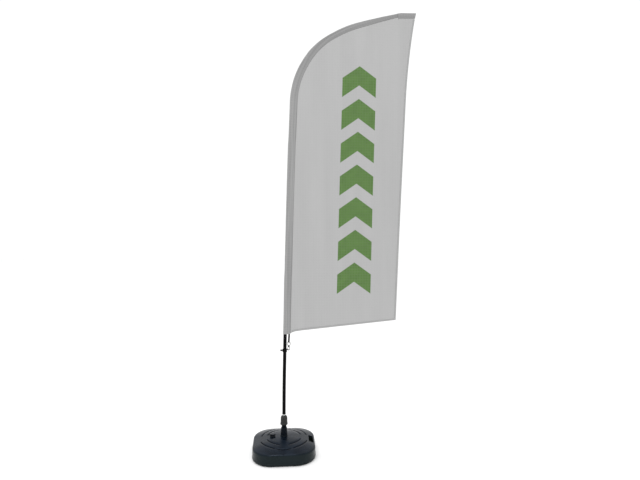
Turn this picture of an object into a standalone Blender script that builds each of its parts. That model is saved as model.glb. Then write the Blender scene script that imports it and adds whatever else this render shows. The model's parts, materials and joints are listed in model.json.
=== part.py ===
"""Feather flag on a rotating pole, standing in a water-filled base.

Metres, +Z up. The origin is the centre of the base's flat underside, on the axis that the pole turns
about. The flag lies in the XZ plane and reaches towards +X.
"""

import math

import bmesh
import bpy
from mathutils import Vector

# Fits
GAP = 0.0003  # between pieces that touch in the real object
THREAD_PLAY = 0.0005  # radial, where a thread is left plain

# Water tank, blow-moulded
TANK_HALF = 0.215
TANK_CORNER = 0.140
TANK_SIDE = 0.0775
TANK_CROWN = 0.1135
TANK_WALL = 0.0035
FOOT_RADIUS = 0.010
RIM_RADIUS = 0.012
SEAM_HEIGHT = 0.017
SEAM_REACH = 0.0015
GROOVE_WIDTH = 0.011
GROOVE_DEPTH = 0.004
OUTER_GROOVE_IN = 0.052  # groove's middle, inwards from the tank's flat side
GROOVE_SPACING = 0.044
WELL_RADIUS = 0.0195
WELL_FLOOR = 0.012

# Hand grip in the tank's right-hand edge
GRIP_LENGTH = 0.100
GRIP_WIDTH = 0.031
GRIP_BAR = 0.012
GRIP_DEPTH = 0.042
GRIP_STEP = 0.016
TONGUE_LENGTH = 0.044
TONGUE_WIDTH = 0.018

# Filler on the tank's left
FILLER_IN = 0.039  # inwards from the inner groove
FILLER_BORE = 0.0125
BOSS_WALL = 0.0060
BOSS_DROP = 0.0028  # below the crown
GASKET_THICK = 0.0016
PLUG_LENGTH = 0.010
CAP_FLANGE = 0.004
WING_SPAN = 0.046
CAP_RIM = 0.001
WING_THICK = 0.005
WING_HEIGHT = 0.007

# Stand tube, collet and clamp nut
TUBE_BORE = 0.0125
TUBE_STEP = 0.0037  # how much wider the tube is above the tank than in the well
TUBE_TAPER = 0.0020
TUBE_RISE = 0.0579  # crown to shoulder
THREAD_LENGTH = 0.0686
THREAD_WALL = 0.0040
COLLET_LENGTH = 0.090
COLLET_LIP = 0.0070
NUT_ABOVE_SHOULDER = 0.0210
NUT_CROWN = 0.0139  # above the tube's top
NUT_WALL = 0.0075
NUT_FLANGE_STEP = 0.0017
NUT_RIBS = 18
NUT_RIB_DEPTH = 0.0009

# Spindle, bushes and rotor
SPINDLE_RADIUS = 0.0080
FLANGE_ABOVE_NUT = 0.0037
FLANGE_THICK = 0.0030
FLANGE_INSET = 0.0002  # inside the pole's outside
WASHER_THICK = 0.0016
BUSH_WALL = 0.0015
BUSH_LENGTH = 0.020
ROTOR_WALL = 0.0015
ROTOR_LENGTH = 0.150
ROTOR_FLANGE_PROUD = 0.0006
ROTOR_FLANGE_THICK = 0.0028
ROTOR_PLAY = 0.0006
CLIP_THICK = 0.0012

# Pole, from its lower end to the tip
LOWER_LENGTH = 0.930
MIDDLE_LENGTH = 0.930
UPPER_LENGTH = 1.490
OVERLAP = 0.100  # how far one section stands in the next
LOWER_RADIUS = 0.0120
POLE_WALL = 0.0015
FOOT_WALL = 0.0008
FOOT_LIP = 0.0042
TIP_RADIUS = 0.0035
STOP_RING = 0.012  # length of a stop ring
TIP_CAP = 0.017
# The pole is a chain of arcs: the length of each, and how far the pole turns towards the flag along it
FOOT_RUNS = (
    (0.30, math.radians(1.1)),
    (0.65, 0.0),
)
LONG_RUN_TURN = math.radians(1.0)  # the run between takes the length that is left
TIP_RUNS = (
    (0.38, math.radians(37.0)),
    (0.17, math.radians(18.5)),
    (0.27, math.radians(16.5)),
    (0.25, math.radians(2.5)),
    (0.06, math.radians(12.0)),
    (0.04, 0.0),
)

BEND_STEP = math.radians(6)  # how finely the bends are cut
BEND_PITCH = 0.21
POLE_SIDES = 20

# Tension collar and the hook on it
COLLAR_DROP = 0.1145  # below the sleeve's mouth, along the pole
COLLAR_HEIGHT = 0.020
COLLAR_WALL = 0.0035
COLLAR_BORE_PLAY = 0.0005
LUG_THICK = 0.0035
LUG_HALF_WIDTH = 0.0062
LUG_HOLE_OUT = 0.0045
LUG_RIM = 0.0047
LUG_HOLE = 0.0028
SCREW_RADIUS = 0.0025
SCREW_BOSS = 0.0058
KNOB_RADIUS = 0.0068
KNOB_OUT = 0.0092
WIRE = 0.0017
SWIVEL_STEM = 0.0015
SWIVEL_HEAD = 0.0026
HOOK_HALF = 0.006
SOCKET_BOTTOM = 0.0245
SOCKET_HEIGHT = 0.0060
EYE_HALF = 0.0103
EYE_TOP = 0.0570

# Flag
FLAG_FOOT = 0.552  # where the sleeve begins, along the pole
FABRIC = 0.0008
SLEEVE_FABRIC = 0.0010
SLEEVE_SLACK = 0.0006
SEAM_HALF = 0.0012
# Width of the flat sleeve, at distances back from the pole's tip
SLEEVE_WIDTHS = ((2.80, 0.050), (0.90, 0.052), (0.60, 0.041), (0.35, 0.038), (0.10, 0.026))
POCKET_BACK = 0.088
POCKET_PAST = 0.046
POCKET_WIDTH = 0.0385
POCKET_NOSE = 0.0068
POCKET_SLANT = 0.22
PANEL_FOOT_RISE = 0.0098  # bottom hem above the sleeve's mouth, on the pole's axis
PANEL_FOOT_SLOPE = 0.0980
PANEL_FOOT_HOOK = 0.013
TRAIL_FOOT_X = 0.7925
TRAIL_SLOPE = 0.0477
TRAIL_FLARE = 0.104  # metres outwards per square metre
TRAIL_FLARE_DROP = 0.615  # the height below the top at which the hem starts to flare
STRAP_WIDTH = 0.012
STRAP_THICK = 0.0013

# Values that follow from the ones above
OUTER_GROOVE = TANK_HALF - OUTER_GROOVE_IN
INNER_GROOVE = OUTER_GROOVE - GROOVE_SPACING
FILLER_X = FILLER_IN - INNER_GROOVE
BOSS_RADIUS = FILLER_BORE + BOSS_WALL
BOSS_TOP = TANK_CROWN - BOSS_DROP
TUBE_FOOT = WELL_RADIUS + TUBE_STEP
TUBE_NECK = TUBE_FOOT - TUBE_TAPER
TUBE_SHOULDER = TANK_CROWN + TUBE_RISE
TUBE_TOP = TUBE_SHOULDER + THREAD_LENGTH
THREAD_RADIUS = TUBE_BORE + THREAD_WALL
NUT_BORE = THREAD_RADIUS + THREAD_PLAY
NUT_RADIUS = NUT_BORE + NUT_WALL
NUT_FLANGE = NUT_RADIUS + NUT_FLANGE_STEP
NUT_BOTTOM = TUBE_SHOULDER + NUT_ABOVE_SHOULDER
NUT_TOP = TUBE_TOP + NUT_CROWN
ROTOR_RADIUS = LOWER_RADIUS - POLE_WALL - GAP - FOOT_WALL - ROTOR_PLAY
ROTOR_BORE = ROTOR_RADIUS - ROTOR_WALL
ROTOR_FLANGE = LOWER_RADIUS + ROTOR_FLANGE_PROUD
BUSH_OUTER = ROTOR_BORE - GAP
BUSH_BORE = BUSH_OUTER - BUSH_WALL
AXLE_RADIUS = BUSH_BORE - GAP
FLANGE_RADIUS = LOWER_RADIUS - FLANGE_INSET
FLANGE_BOTTOM = NUT_TOP + FLANGE_ABOVE_NUT
FLANGE_TOP = FLANGE_BOTTOM + FLANGE_THICK
WASHER_TOP = FLANGE_TOP + GAP + WASHER_THICK
ROTOR_BOTTOM = WASHER_TOP + GAP
ROTOR_SEAT = ROTOR_BOTTOM + ROTOR_FLANGE_THICK
ROTOR_TOP = ROTOR_BOTTOM + ROTOR_LENGTH
POLE_FOOT = ROTOR_SEAT + GAP
POLE_START = POLE_FOOT + FOOT_LIP + GAP
MIDDLE_RADIUS = LOWER_RADIUS - POLE_WALL - GAP
UPPER_RADIUS = MIDDLE_RADIUS - POLE_WALL - GAP
MIDDLE_START = LOWER_LENGTH - OVERLAP
MIDDLE_END = LOWER_LENGTH + MIDDLE_LENGTH
UPPER_START = MIDDLE_END - OVERLAP
POLE_END = MIDDLE_END + UPPER_LENGTH
TAPER_FROM = MIDDLE_END + 0.04
LONG_RUN = POLE_END - sum(length for length, _ in FOOT_RUNS + TIP_RUNS)
POLE_RUNS = (*FOOT_RUNS, (LONG_RUN, LONG_RUN_TURN), *TIP_RUNS)
COLLAR_AT = FLAG_FOOT - COLLAR_DROP
COLLAR_BORE = LOWER_RADIUS + COLLAR_BORE_PLAY
COLLAR_RADIUS = COLLAR_BORE + COLLAR_WALL
LUG_HOLE_AT = COLLAR_RADIUS + LUG_HOLE_OUT
LUG_REACH = LUG_HOLE_AT + LUG_HOLE + LUG_RIM
KNOB_AT = COLLAR_RADIUS + KNOB_OUT
POCKET_FROM = POLE_END - POCKET_BACK
POCKET_TO = POLE_END + POCKET_PAST


def clear_scene():
    for thing in list(bpy.data.objects):
        bpy.data.objects.remove(thing, do_unlink=True)


def make_material(name, colour, metallic, roughness):
    material = bpy.data.materials.new(name)
    material.use_nodes = True
    shader = material.node_tree.nodes["Principled BSDF"]
    shader.inputs["Base Color"].default_value = (*colour, 1.0)
    shader.inputs["Metallic"].default_value = metallic
    shader.inputs["Roughness"].default_value = roughness
    return material


def add_object(name, bm, look=None, parent=None):
    """Turns a bmesh into an object. With no look it becomes a hidden cutter."""
    bmesh.ops.recalc_face_normals(bm, faces=bm.faces)
    mesh = bpy.data.meshes.new(name)
    bm.to_mesh(mesh)
    bm.free()
    mesh.shade_smooth()
    mesh.set_sharp_from_angle(angle=math.radians(32))
    thing = bpy.data.objects.new(name, mesh)
    bpy.context.scene.collection.objects.link(thing)
    thing.parent = parent
    if look is None:
        thing.hide_render = True
        thing.display_type = "WIRE"
    else:
        mesh.materials.append(make_material(name, *look))
    return thing


def add_frame(name, location, lean=0.0, parent=None):
    """An empty that carries pieces which share an axis."""
    frame = bpy.data.objects.new(name, None)
    frame.empty_display_size = 0.02
    frame.location = location
    frame.rotation_euler = (0.0, lean, 0.0)
    frame.parent = parent
    bpy.context.scene.collection.objects.link(frame)
    return frame


def skin(rings, closed=False):
    """Joins rings of points, equal in number, by quads. The end rings are capped unless the skin is closed."""
    bm = bmesh.new()
    loops = [[bm.verts.new(point) for point in ring] for ring in rings]
    pairs = list(zip(loops, loops[1:]))
    if closed:
        pairs.append((loops[-1], loops[0]))
    for low, high in pairs:
        for k in range(len(low)):
            after = (k + 1) % len(low)
            bm.faces.new((low[k], low[after], high[after], high[k]))
    if not closed:
        bm.faces.new(loops[0])
        bm.faces.new(loops[-1])
    return bm


def circle(radius, height, count, centre=(0.0, 0.0)):
    return [
        Vector((centre[0] + radius * math.cos(a), centre[1] + radius * math.sin(a), height))
        for a in (math.tau * k / count for k in range(count))
    ]


def turned(profile, count=24, closed=False, centre=(0.0, 0.0)):
    """A solid turned about Z from (radius, height) points. A closed profile leaves a bore."""
    return skin([circle(radius, height, count, centre) for radius, height in profile], closed)


def split_ring(profile, opening, count=22):
    """A turned ring with a closed profile, left open over an angle centred on -X."""
    rings = []
    for k in range(count + 1):
        a = -math.pi + opening / 2 + (math.tau - opening) * k / count
        rings.append([Vector((r * math.cos(a), r * math.sin(a), z)) for r, z in profile])
    return skin(rings)


def box(low, high):
    bm = bmesh.new()
    bmesh.ops.create_cube(bm, size=1.0)
    middle = (Vector(low) + Vector(high)) / 2
    size = Vector(high) - Vector(low)
    for vert in bm.verts:
        vert.co = Vector(a * b for a, b in zip(vert.co, size)) + middle
    return bm


def prism(outline, direction):
    """Extrudes a closed outline of 3-D points along a vector."""
    return skin([[Vector(p) for p in outline], [Vector(p) + Vector(direction) for p in outline]])


def rounded(bm, width, segments=2):
    """Rounds every sharp edge of a bmesh."""
    sharp = [e for e in bm.edges if e.calc_face_angle(0.0) > math.radians(40)]
    bmesh.ops.bevel(bm, geom=sharp, offset=width, segments=segments, affect="EDGES", profile=0.5)
    return bm


def boolean(thing, cutter, operation):
    modifier = thing.modifiers.new(cutter.name, "BOOLEAN")
    modifier.operation = operation
    modifier.solver = "EXACT"
    modifier.object = cutter


def arc(centre, radius, start, end, steps):
    """(x, y) points on an arc, both ends included."""
    return [
        (
            centre[0] + radius * math.cos(start + (end - start) * k / steps),
            centre[1] + radius * math.sin(start + (end - start) * k / steps),
        )
        for k in range(steps + 1)
    ]


# ---- the water tank


def square_reach(angle, inset):
    """Distance from the axis to the tank's rounded-square outline, moved in by inset."""
    corner = max(TANK_CORNER - inset, 0.001)
    core = TANK_HALF - inset - corner
    a, b = sorted((abs(math.cos(angle)), abs(math.sin(angle))), reverse=True)
    half = core + corner
    if half * b / a <= core:
        return half / a
    along = core * (a + b)
    return along + math.sqrt(along**2 - 2 * core**2 + corner**2)


def outline_ring(inset, height, count):
    angles = [math.tau * k / count for k in range(count)]
    return [
        Vector((square_reach(a, inset) * math.cos(a), square_reach(a, inset) * math.sin(a), height))
        for a in angles
    ]


def dome_height(reach, angle):
    share = reach / square_reach(angle, RIM_RADIUS)
    return TANK_CROWN - (TANK_CROWN - TANK_SIDE) * share**2


def groove_window(angle, arcs):
    """1 inside any of the arcs, measured from the tank's front and back middles, falling to 0 beside them."""
    from_middle = math.degrees(abs(math.asin(math.cos(angle))))
    fade = 5.0
    inside = [min(from_middle - low, high - from_middle) / fade + 1 for low, high in arcs]
    return max(0.0, min(1.0, max(inside)))


def dome_ring(reach, count, sink=0.0, arcs=()):
    """A round ring on the tank's domed top, sunk along arcs or, with no arcs, all the way."""
    ring = []
    for k in range(count):
        angle = math.tau * k / count
        depth = sink * (groove_window(angle, arcs) if arcs else 1.0)
        height = dome_height(reach, angle) - depth
        ring.append(Vector((reach * math.cos(angle), reach * math.sin(angle), height)))
    return ring


def groove_rings(reach, arcs, count):
    half = GROOVE_WIDTH / 2
    return [
        dome_ring(reach + half, count),
        dome_ring(reach + half * 0.35, count, GROOVE_DEPTH, arcs),
        dome_ring(reach - half * 0.35, count, GROOVE_DEPTH, arcs),
        dome_ring(reach - half, count),
    ]


def tank_shell(count=48):
    """The tank's outside, from its flat underside up over the rim to the crown."""
    rings = []
    for x, z in arc((0.0, FOOT_RADIUS), FOOT_RADIUS, -math.pi / 2, 0.0, 2):
        rings.append(outline_ring(FOOT_RADIUS - x, z, count))
    for rise, reach in ((-0.0020, 0.0), (-0.0007, 1.0), (0.0007, 1.0), (0.0020, 0.0)):
        rings.append(outline_ring(-SEAM_REACH * reach, SEAM_HEIGHT + rise, count))
    rim_foot = TANK_SIDE - RIM_RADIUS
    for x, z in arc((0.0, rim_foot), RIM_RADIUS, 0.0, math.radians(78), 3):
        rings.append(outline_ring(RIM_RADIUS - x, z, count))
    outer = OUTER_GROOVE + GROOVE_WIDTH / 2
    between_rim_and_groove = []
    for k in range(count):
        angle = math.tau * k / count
        reach = (square_reach(angle, RIM_RADIUS) + outer) / 2
        height = dome_height(reach, angle)
        between_rim_and_groove.append(Vector((reach * math.cos(angle), reach * math.sin(angle), height)))
    rings.append(between_rim_and_groove)
    rings += groove_rings(OUTER_GROOVE, ((0.0, 15.0), (24.0, 72.0)), count)
    rings += groove_rings(INNER_GROOVE, ((16.0, 72.0),), count)
    inside = INNER_GROOVE - GROOVE_WIDTH / 2
    middle = TUBE_FOOT + 0.006
    for share in (0.75, 0.4, 0.0):
        rings.append(dome_ring(middle + (inside - middle) * share, count))
    return skin(rings)


def tank_cavity(count=32):
    """The water space: a ring around the central well, one wall inside the shell."""
    well = WELL_RADIUS + TANK_WALL
    below = TANK_WALL + GROOVE_DEPTH
    rings = [
        circle(well, TANK_WALL, count),
        outline_ring(TANK_WALL + FOOT_RADIUS, TANK_WALL, count),
        outline_ring(TANK_WALL, TANK_WALL + FOOT_RADIUS, count),
        outline_ring(TANK_WALL, TANK_SIDE - RIM_RADIUS - TANK_WALL, count),
        outline_ring(TANK_WALL + RIM_RADIUS, TANK_SIDE - below - 0.002, count),
    ]
    for share in (0.70, 0.38, 0.0):
        rings.append(dome_ring(well + (OUTER_GROOVE + 0.02 - well) * share, count, below))
    return skin(rings, closed=True)


def make_tank(look):
    tank = add_object("tank_body", tank_shell(), look)
    cavity = add_object("cut_cavity", tank_cavity())

    # The grip's floor and walls stay solid inside the water space
    bar_inside = TANK_HALF - GRIP_BAR
    pocket_left = bar_inside - GRIP_WIDTH
    pocket_floor = TANK_SIDE - GRIP_DEPTH
    half = GRIP_LENGTH / 2
    keep = add_object(
        "cut_grip_walls",
        box(
            (pocket_left - TANK_WALL, -half - TANK_WALL, pocket_floor - TANK_WALL),
            (TANK_HALF + 0.02, half + TANK_WALL, TANK_CROWN + 0.02),
        ),
    )
    boolean(cavity, keep, "DIFFERENCE")

    step = TANK_SIDE - GRIP_STEP
    above = TANK_CROWN + 0.01
    shallow = rounded(box((pocket_left, -half, step), (bar_inside, half, above)), 0.005)
    tongue_right = pocket_left + TONGUE_WIDTH
    tongue_half = TONGUE_LENGTH / 2
    horseshoe = [
        (pocket_left, -half, pocket_floor),
        (bar_inside, -half, pocket_floor),
        (bar_inside, half, pocket_floor),
        (pocket_left, half, pocket_floor),
        (pocket_left, tongue_half, pocket_floor),
        (tongue_right, tongue_half, pocket_floor),
        (tongue_right, -tongue_half, pocket_floor),
        (pocket_left, -tongue_half, pocket_floor),
    ]
    deep = rounded(prism(horseshoe, (0, 0, step + 0.004 - pocket_floor)), 0.0035)
    boss = turned(
        [(BOSS_RADIUS, BOSS_TOP - 0.016), (BOSS_RADIUS, BOSS_TOP - 0.001), (BOSS_RADIUS - 0.001, BOSS_TOP)],
        centre=(FILLER_X, 0.0),
    )
    filler = turned(
        [(FILLER_BORE, BOSS_TOP - 0.035), (FILLER_BORE, BOSS_TOP + 0.01)], centre=(FILLER_X, 0.0)
    )
    well = turned([(WELL_RADIUS, WELL_FLOOR), (WELL_RADIUS, TANK_CROWN + 0.01)])
    boolean(tank, cavity, "DIFFERENCE")
    boolean(tank, add_object("add_boss", boss), "UNION")
    for name, shape in (
        ("cut_grip_shallow", shallow),
        ("cut_grip_deep", deep),
        ("cut_filler", filler),
        ("cut_well", well),
    ):
        boolean(tank, add_object(name, shape), "DIFFERENCE")
    return tank


def make_filler_cap(cap_look, gasket_look):
    axis = (FILLER_X, 0.0)
    seat = BOSS_TOP + GAP
    outer = BOSS_RADIUS - 0.001
    gasket = [
        (FILLER_BORE + GAP, seat),
        (outer, seat),
        (outer, seat + GASKET_THICK),
        (FILLER_BORE + GAP, seat + GASKET_THICK),
    ]
    frame = add_frame("cap_axis", (FILLER_X, 0.0, 0.0))
    add_object("cap_gasket", turned(gasket, 24, True), gasket_look, frame)

    flange = seat + GASKET_THICK + GAP
    top = flange + CAP_FLANGE
    plug = FILLER_BORE - THREAD_PLAY
    body = turned(
        [
            (plug - 0.001, flange - PLUG_LENGTH),
            (plug, flange - PLUG_LENGTH + 0.001),
            (plug, flange),
            (BOSS_RADIUS, flange),
            (BOSS_RADIUS + CAP_RIM, flange + 0.001),
            (BOSS_RADIUS + CAP_RIM, top - 0.001),
            (BOSS_RADIUS, top),
        ]
    )
    cap = add_object("filler_cap", body, cap_look, frame)
    half = WING_SPAN / 2
    foot = half * 0.55
    side = [
        (-foot, 0, top - 0.002),
        (foot, 0, top - 0.002),
        (foot, 0, top + 0.001),
        (half, 0, top + WING_HEIGHT * 0.55),
        (half, 0, top + WING_HEIGHT),
        (foot * 0.8, 0, top + WING_HEIGHT),
        (0, 0, top + WING_HEIGHT * 0.55),
        (-foot * 0.8, 0, top + WING_HEIGHT),
        (-half, 0, top + WING_HEIGHT),
        (-half, 0, top + WING_HEIGHT * 0.55),
        (-foot, 0, top + 0.001),
    ]
    outline = [(x, -WING_THICK / 2, z) for x, _, z in side]
    wings = add_object("add_wings", rounded(prism(outline, (0, WING_THICK, 0)), 0.0012), None, frame)
    boolean(cap, wings, "UNION")


# ---- the stand: tube, collet, nut, spindle and rotor


def make_stand_tube(look):
    spigot = WELL_RADIUS - THREAD_PLAY
    flange = TANK_CROWN + GAP
    profile = [
        (TUBE_BORE, WELL_FLOOR + GAP),
        (spigot, WELL_FLOOR + GAP),
        (spigot, flange),
        (TUBE_FOOT + 0.0028, flange),
        (TUBE_FOOT + 0.0028, flange + 0.0025),
        (TUBE_FOOT, flange + 0.0065),
        (TUBE_NECK, TUBE_SHOULDER - 0.002),
        (TUBE_NECK - 0.002, TUBE_SHOULDER),
        (THREAD_RADIUS, TUBE_SHOULDER),
        (THREAD_RADIUS, TUBE_TOP - 0.001),
        (THREAD_RADIUS - 0.001, TUBE_TOP),
        (TUBE_BORE, TUBE_TOP),
    ]
    add_object("stand_tube", turned(profile, 32, True), look)


def make_collet(look):
    inner = SPINDLE_RADIUS + GAP
    outer = TUBE_BORE - GAP
    lip = TUBE_TOP + GAP
    profile = [
        (inner, lip - COLLET_LENGTH),
        (outer, lip - COLLET_LENGTH),
        (outer, lip),
        (THREAD_RADIUS - 0.001, lip),
        (THREAD_RADIUS - 0.004, lip + COLLET_LIP),
        (inner, lip + COLLET_LIP),
    ]
    add_object("collet", split_ring(profile, math.radians(14)), look)


def ribbed(radius, height, count):
    """A ring with every third point drawn in, which makes the nut's grip ribs."""
    ring = circle(radius, height, count)
    for point in ring[::3]:
        point.x *= 1 - NUT_RIB_DEPTH / radius
        point.y *= 1 - NUT_RIB_DEPTH / radius
    return ring


def make_clamp_nut(look):
    count = NUT_RIBS * 3
    lip_top = TUBE_TOP + GAP + COLLET_LIP
    roof = lip_top + GAP
    flange_top = NUT_BOTTOM + 0.0095
    rings = [
        circle(NUT_BORE, NUT_BOTTOM, count),
        circle(NUT_FLANGE - 0.001, NUT_BOTTOM, count),
        circle(NUT_FLANGE, NUT_BOTTOM + 0.001, count),
        circle(NUT_FLANGE, flange_top, count),
        ribbed(NUT_RADIUS, flange_top + 0.001, count),
        ribbed(NUT_RADIUS - 0.001, NUT_TOP - 0.016, count),
    ]
    for radius, height in arc((0.0, NUT_TOP - 0.0145), 0.0145, math.radians(12), math.radians(78), 3):
        rings.append(circle(NUT_RADIUS - 0.0155 + radius, height, count))
    rings += [
        circle(SPINDLE_RADIUS + 0.0015, NUT_TOP, count),
        circle(SPINDLE_RADIUS + 0.0015, roof, count),
        circle(THREAD_RADIUS - 0.0037, roof, count),
        circle(NUT_BORE, TUBE_TOP + GAP, count),
    ]
    add_object("clamp_nut", skin(rings, closed=True), look)


def make_spindle(steel, washer_look, clip_look):
    groove = ROTOR_TOP + 0.0006
    groove_depth = 0.0012
    top = groove + CLIP_THICK + 0.0080
    profile = [
        (SPINDLE_RADIUS - 0.001, TUBE_TOP - COLLET_LENGTH - 0.004),
        (SPINDLE_RADIUS, TUBE_TOP - COLLET_LENGTH - 0.003),
        (SPINDLE_RADIUS, FLANGE_BOTTOM),
        (FLANGE_RADIUS - 0.0005, FLANGE_BOTTOM),
        (FLANGE_RADIUS, FLANGE_BOTTOM + 0.0005),
        (FLANGE_RADIUS, FLANGE_TOP - 0.0005),
        (FLANGE_RADIUS - 0.0005, FLANGE_TOP),
        (AXLE_RADIUS, FLANGE_TOP),
        (AXLE_RADIUS, groove - GAP),
        (AXLE_RADIUS - groove_depth, groove - GAP),
        (AXLE_RADIUS - groove_depth, groove + CLIP_THICK + GAP),
        (AXLE_RADIUS, groove + CLIP_THICK + GAP),
        (AXLE_RADIUS, top - 0.002),
        (AXLE_RADIUS - 0.002, top),
    ]
    add_object("spindle_pin", turned(profile), steel)

    washer = [
        (AXLE_RADIUS + GAP, FLANGE_TOP + GAP),
        (FLANGE_RADIUS, FLANGE_TOP + GAP),
        (FLANGE_RADIUS, WASHER_TOP),
        (AXLE_RADIUS + GAP, WASHER_TOP),
    ]
    add_object("thrust_washer", turned(washer, 24, True), washer_look)

    clip = [
        (AXLE_RADIUS - groove_depth + GAP, groove),
        (ROTOR_RADIUS - 0.0006, groove),
        (ROTOR_RADIUS - 0.0006, groove + CLIP_THICK),
        (AXLE_RADIUS - groove_depth + GAP, groove + CLIP_THICK),
    ]
    add_object("retaining_clip", split_ring(clip, math.radians(80)), clip_look)


def make_rotor(rotor_look, bush_look):
    profile = [
        (ROTOR_BORE, ROTOR_BOTTOM),
        (ROTOR_FLANGE, ROTOR_BOTTOM),
        (ROTOR_FLANGE, ROTOR_SEAT),
        (ROTOR_RADIUS, ROTOR_SEAT),
        (ROTOR_RADIUS, ROTOR_TOP - 0.002),
        (ROTOR_RADIUS - 0.0008, ROTOR_TOP),
        (ROTOR_BORE, ROTOR_TOP),
    ]
    add_object("rotor_tube", turned(profile, 24, True), rotor_look)
    for name, low in (
        ("bush_lower", ROTOR_BOTTOM + 0.001),
        ("bush_upper", ROTOR_TOP - 0.001 - BUSH_LENGTH),
    ):
        bush = [
            (BUSH_BORE, low),
            (BUSH_OUTER, low),
            (BUSH_OUTER, low + BUSH_LENGTH),
            (BUSH_BORE, low + BUSH_LENGTH),
        ]
        add_object(name, turned(bush, 24, True), bush_look)


# ---- the pole


def pole_at(distance):
    """The pole's centre line at a distance from its lower end: a point and the lean from upright."""
    x, z, lean = 0.0, POLE_START, 0.0
    for length, turn in POLE_RUNS + ((1.0, 0.0),):
        run = min(distance, length)
        if turn:
            radius = length / turn
            after = lean + run / radius
            x += radius * (math.cos(lean) - math.cos(after))
            z += radius * (math.sin(after) - math.sin(lean))
            lean = after
        else:
            x += run * math.sin(lean)
            z += run * math.cos(lean)
        distance -= run
        if distance <= 0.0:
            break
    return Vector((x, 0.0, z)), lean


def pole_frame(distance):
    """Point, direction along the pole and direction across it towards the flag."""
    point, lean = pole_at(distance)
    along = Vector((math.sin(lean), 0.0, math.cos(lean)))
    across = Vector((math.cos(lean), 0.0, -math.sin(lean)))
    return point, along, across


def pole_ring(distance, radius, count=POLE_SIDES):
    point, _, across = pole_frame(distance)
    side = Vector((0.0, 1.0, 0.0))
    angles = [math.tau * k / count for k in range(count)]
    return [point + across * radius * math.cos(a) + side * radius * math.sin(a) for a in angles]


def stations(start, end, through=()):
    """Distances along the pole. Every piece steps round a bend at the same places, so nested pieces stay apart."""
    found = [start, *through, end]
    passed = 0.0
    for length, turn in POLE_RUNS:
        steps = max(1, math.ceil(turn / BEND_STEP), math.ceil(length / BEND_PITCH) if turn else 1)
        for k in range(steps + 1):
            at = passed + length * k / steps
            if start < at < end and min(abs(at - other) for other in found) > 0.006:
                found.append(at)
        passed += length
    return sorted(found)


def pole_tube(start, end, outer, inner):
    """A bent tube as one closed skin, up its outside and down its bore."""
    rings = [pole_ring(s, outer) for s in stations(start, end)]
    rings += [pole_ring(s, inner) for s in reversed(stations(start, end))]
    return skin(rings, closed=True)


def upper_radius(distance):
    share = max(0.0, distance - TAPER_FROM) / (POLE_END - TAPER_FROM)
    return UPPER_RADIUS + (TIP_RADIUS - UPPER_RADIUS) * share


def make_pole(tube_look, rod_look, foot_look, ring_look, cap_look):
    foot_outer = LOWER_RADIUS - POLE_WALL - GAP
    foot_inner = foot_outer - FOOT_WALL
    foot_top = POLE_START + 0.022
    foot = [
        (foot_inner, POLE_FOOT),
        (LOWER_RADIUS, POLE_FOOT),
        (LOWER_RADIUS + 0.0006, POLE_FOOT + 0.0010),
        (LOWER_RADIUS + 0.0002, POLE_FOOT + FOOT_LIP),
        (foot_outer, POLE_FOOT + FOOT_LIP),
        (foot_outer, foot_top),
        (foot_inner, foot_top),
    ]
    add_object("pole_foot", turned(foot, POLE_SIDES, True), foot_look)

    lower = pole_tube(0.0, LOWER_LENGTH, LOWER_RADIUS, LOWER_RADIUS - POLE_WALL)
    add_object("pole_lower", lower, tube_look)
    middle = pole_tube(MIDDLE_START, MIDDLE_END, MIDDLE_RADIUS, MIDDLE_RADIUS - POLE_WALL)
    add_object("pole_middle", middle, tube_look)
    for name, base, outer, inner in (
        ("stop_ring_lower", LOWER_LENGTH, LOWER_RADIUS, MIDDLE_RADIUS),
        ("stop_ring_upper", MIDDLE_END, MIDDLE_RADIUS, UPPER_RADIUS),
    ):
        ring = pole_tube(base + GAP, base + GAP + STOP_RING, outer, inner + GAP)
        add_object(name, ring, ring_look)

    places = stations(UPPER_START, POLE_END, (TAPER_FROM,))
    add_object("pole_upper", skin([pole_ring(s, upper_radius(s)) for s in places]), rod_look)

    point, lean = pole_at(POLE_END)
    frame = add_frame("tip_axis", point, lean)
    bore = TIP_RADIUS + GAP + 0.0001
    outer = bore + 0.0012
    cap = [
        (bore, GAP),
        (bore, -TIP_CAP * 0.7),
        (outer, -TIP_CAP * 0.7),
        (outer, TIP_CAP * 0.05),
        (outer * 0.8, TIP_CAP * 0.2),
        (outer * 0.4, TIP_CAP * 0.3),
    ]
    add_object("pole_tip_cap", turned(list(reversed(cap)), 20), cap_look, frame)


# ---- the tension collar and its hook


def wire_along(points, radius, count=8):
    """A round wire in the XZ plane through points, with square ends."""
    rings = []
    for k, point in enumerate(points):
        before = Vector(points[max(k - 1, 0)])
        after = Vector(points[min(k + 1, len(points) - 1)])
        along = (after - before).normalized()
        across = Vector((along.z, 0.0, -along.x))
        side = Vector((0.0, 1.0, 0.0))
        rings.append(
            [
                Vector(point)
                + across * radius * math.cos(math.tau * j / count)
                + side * radius * math.sin(math.tau * j / count)
                for j in range(count)
            ]
        )
    return rings


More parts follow.
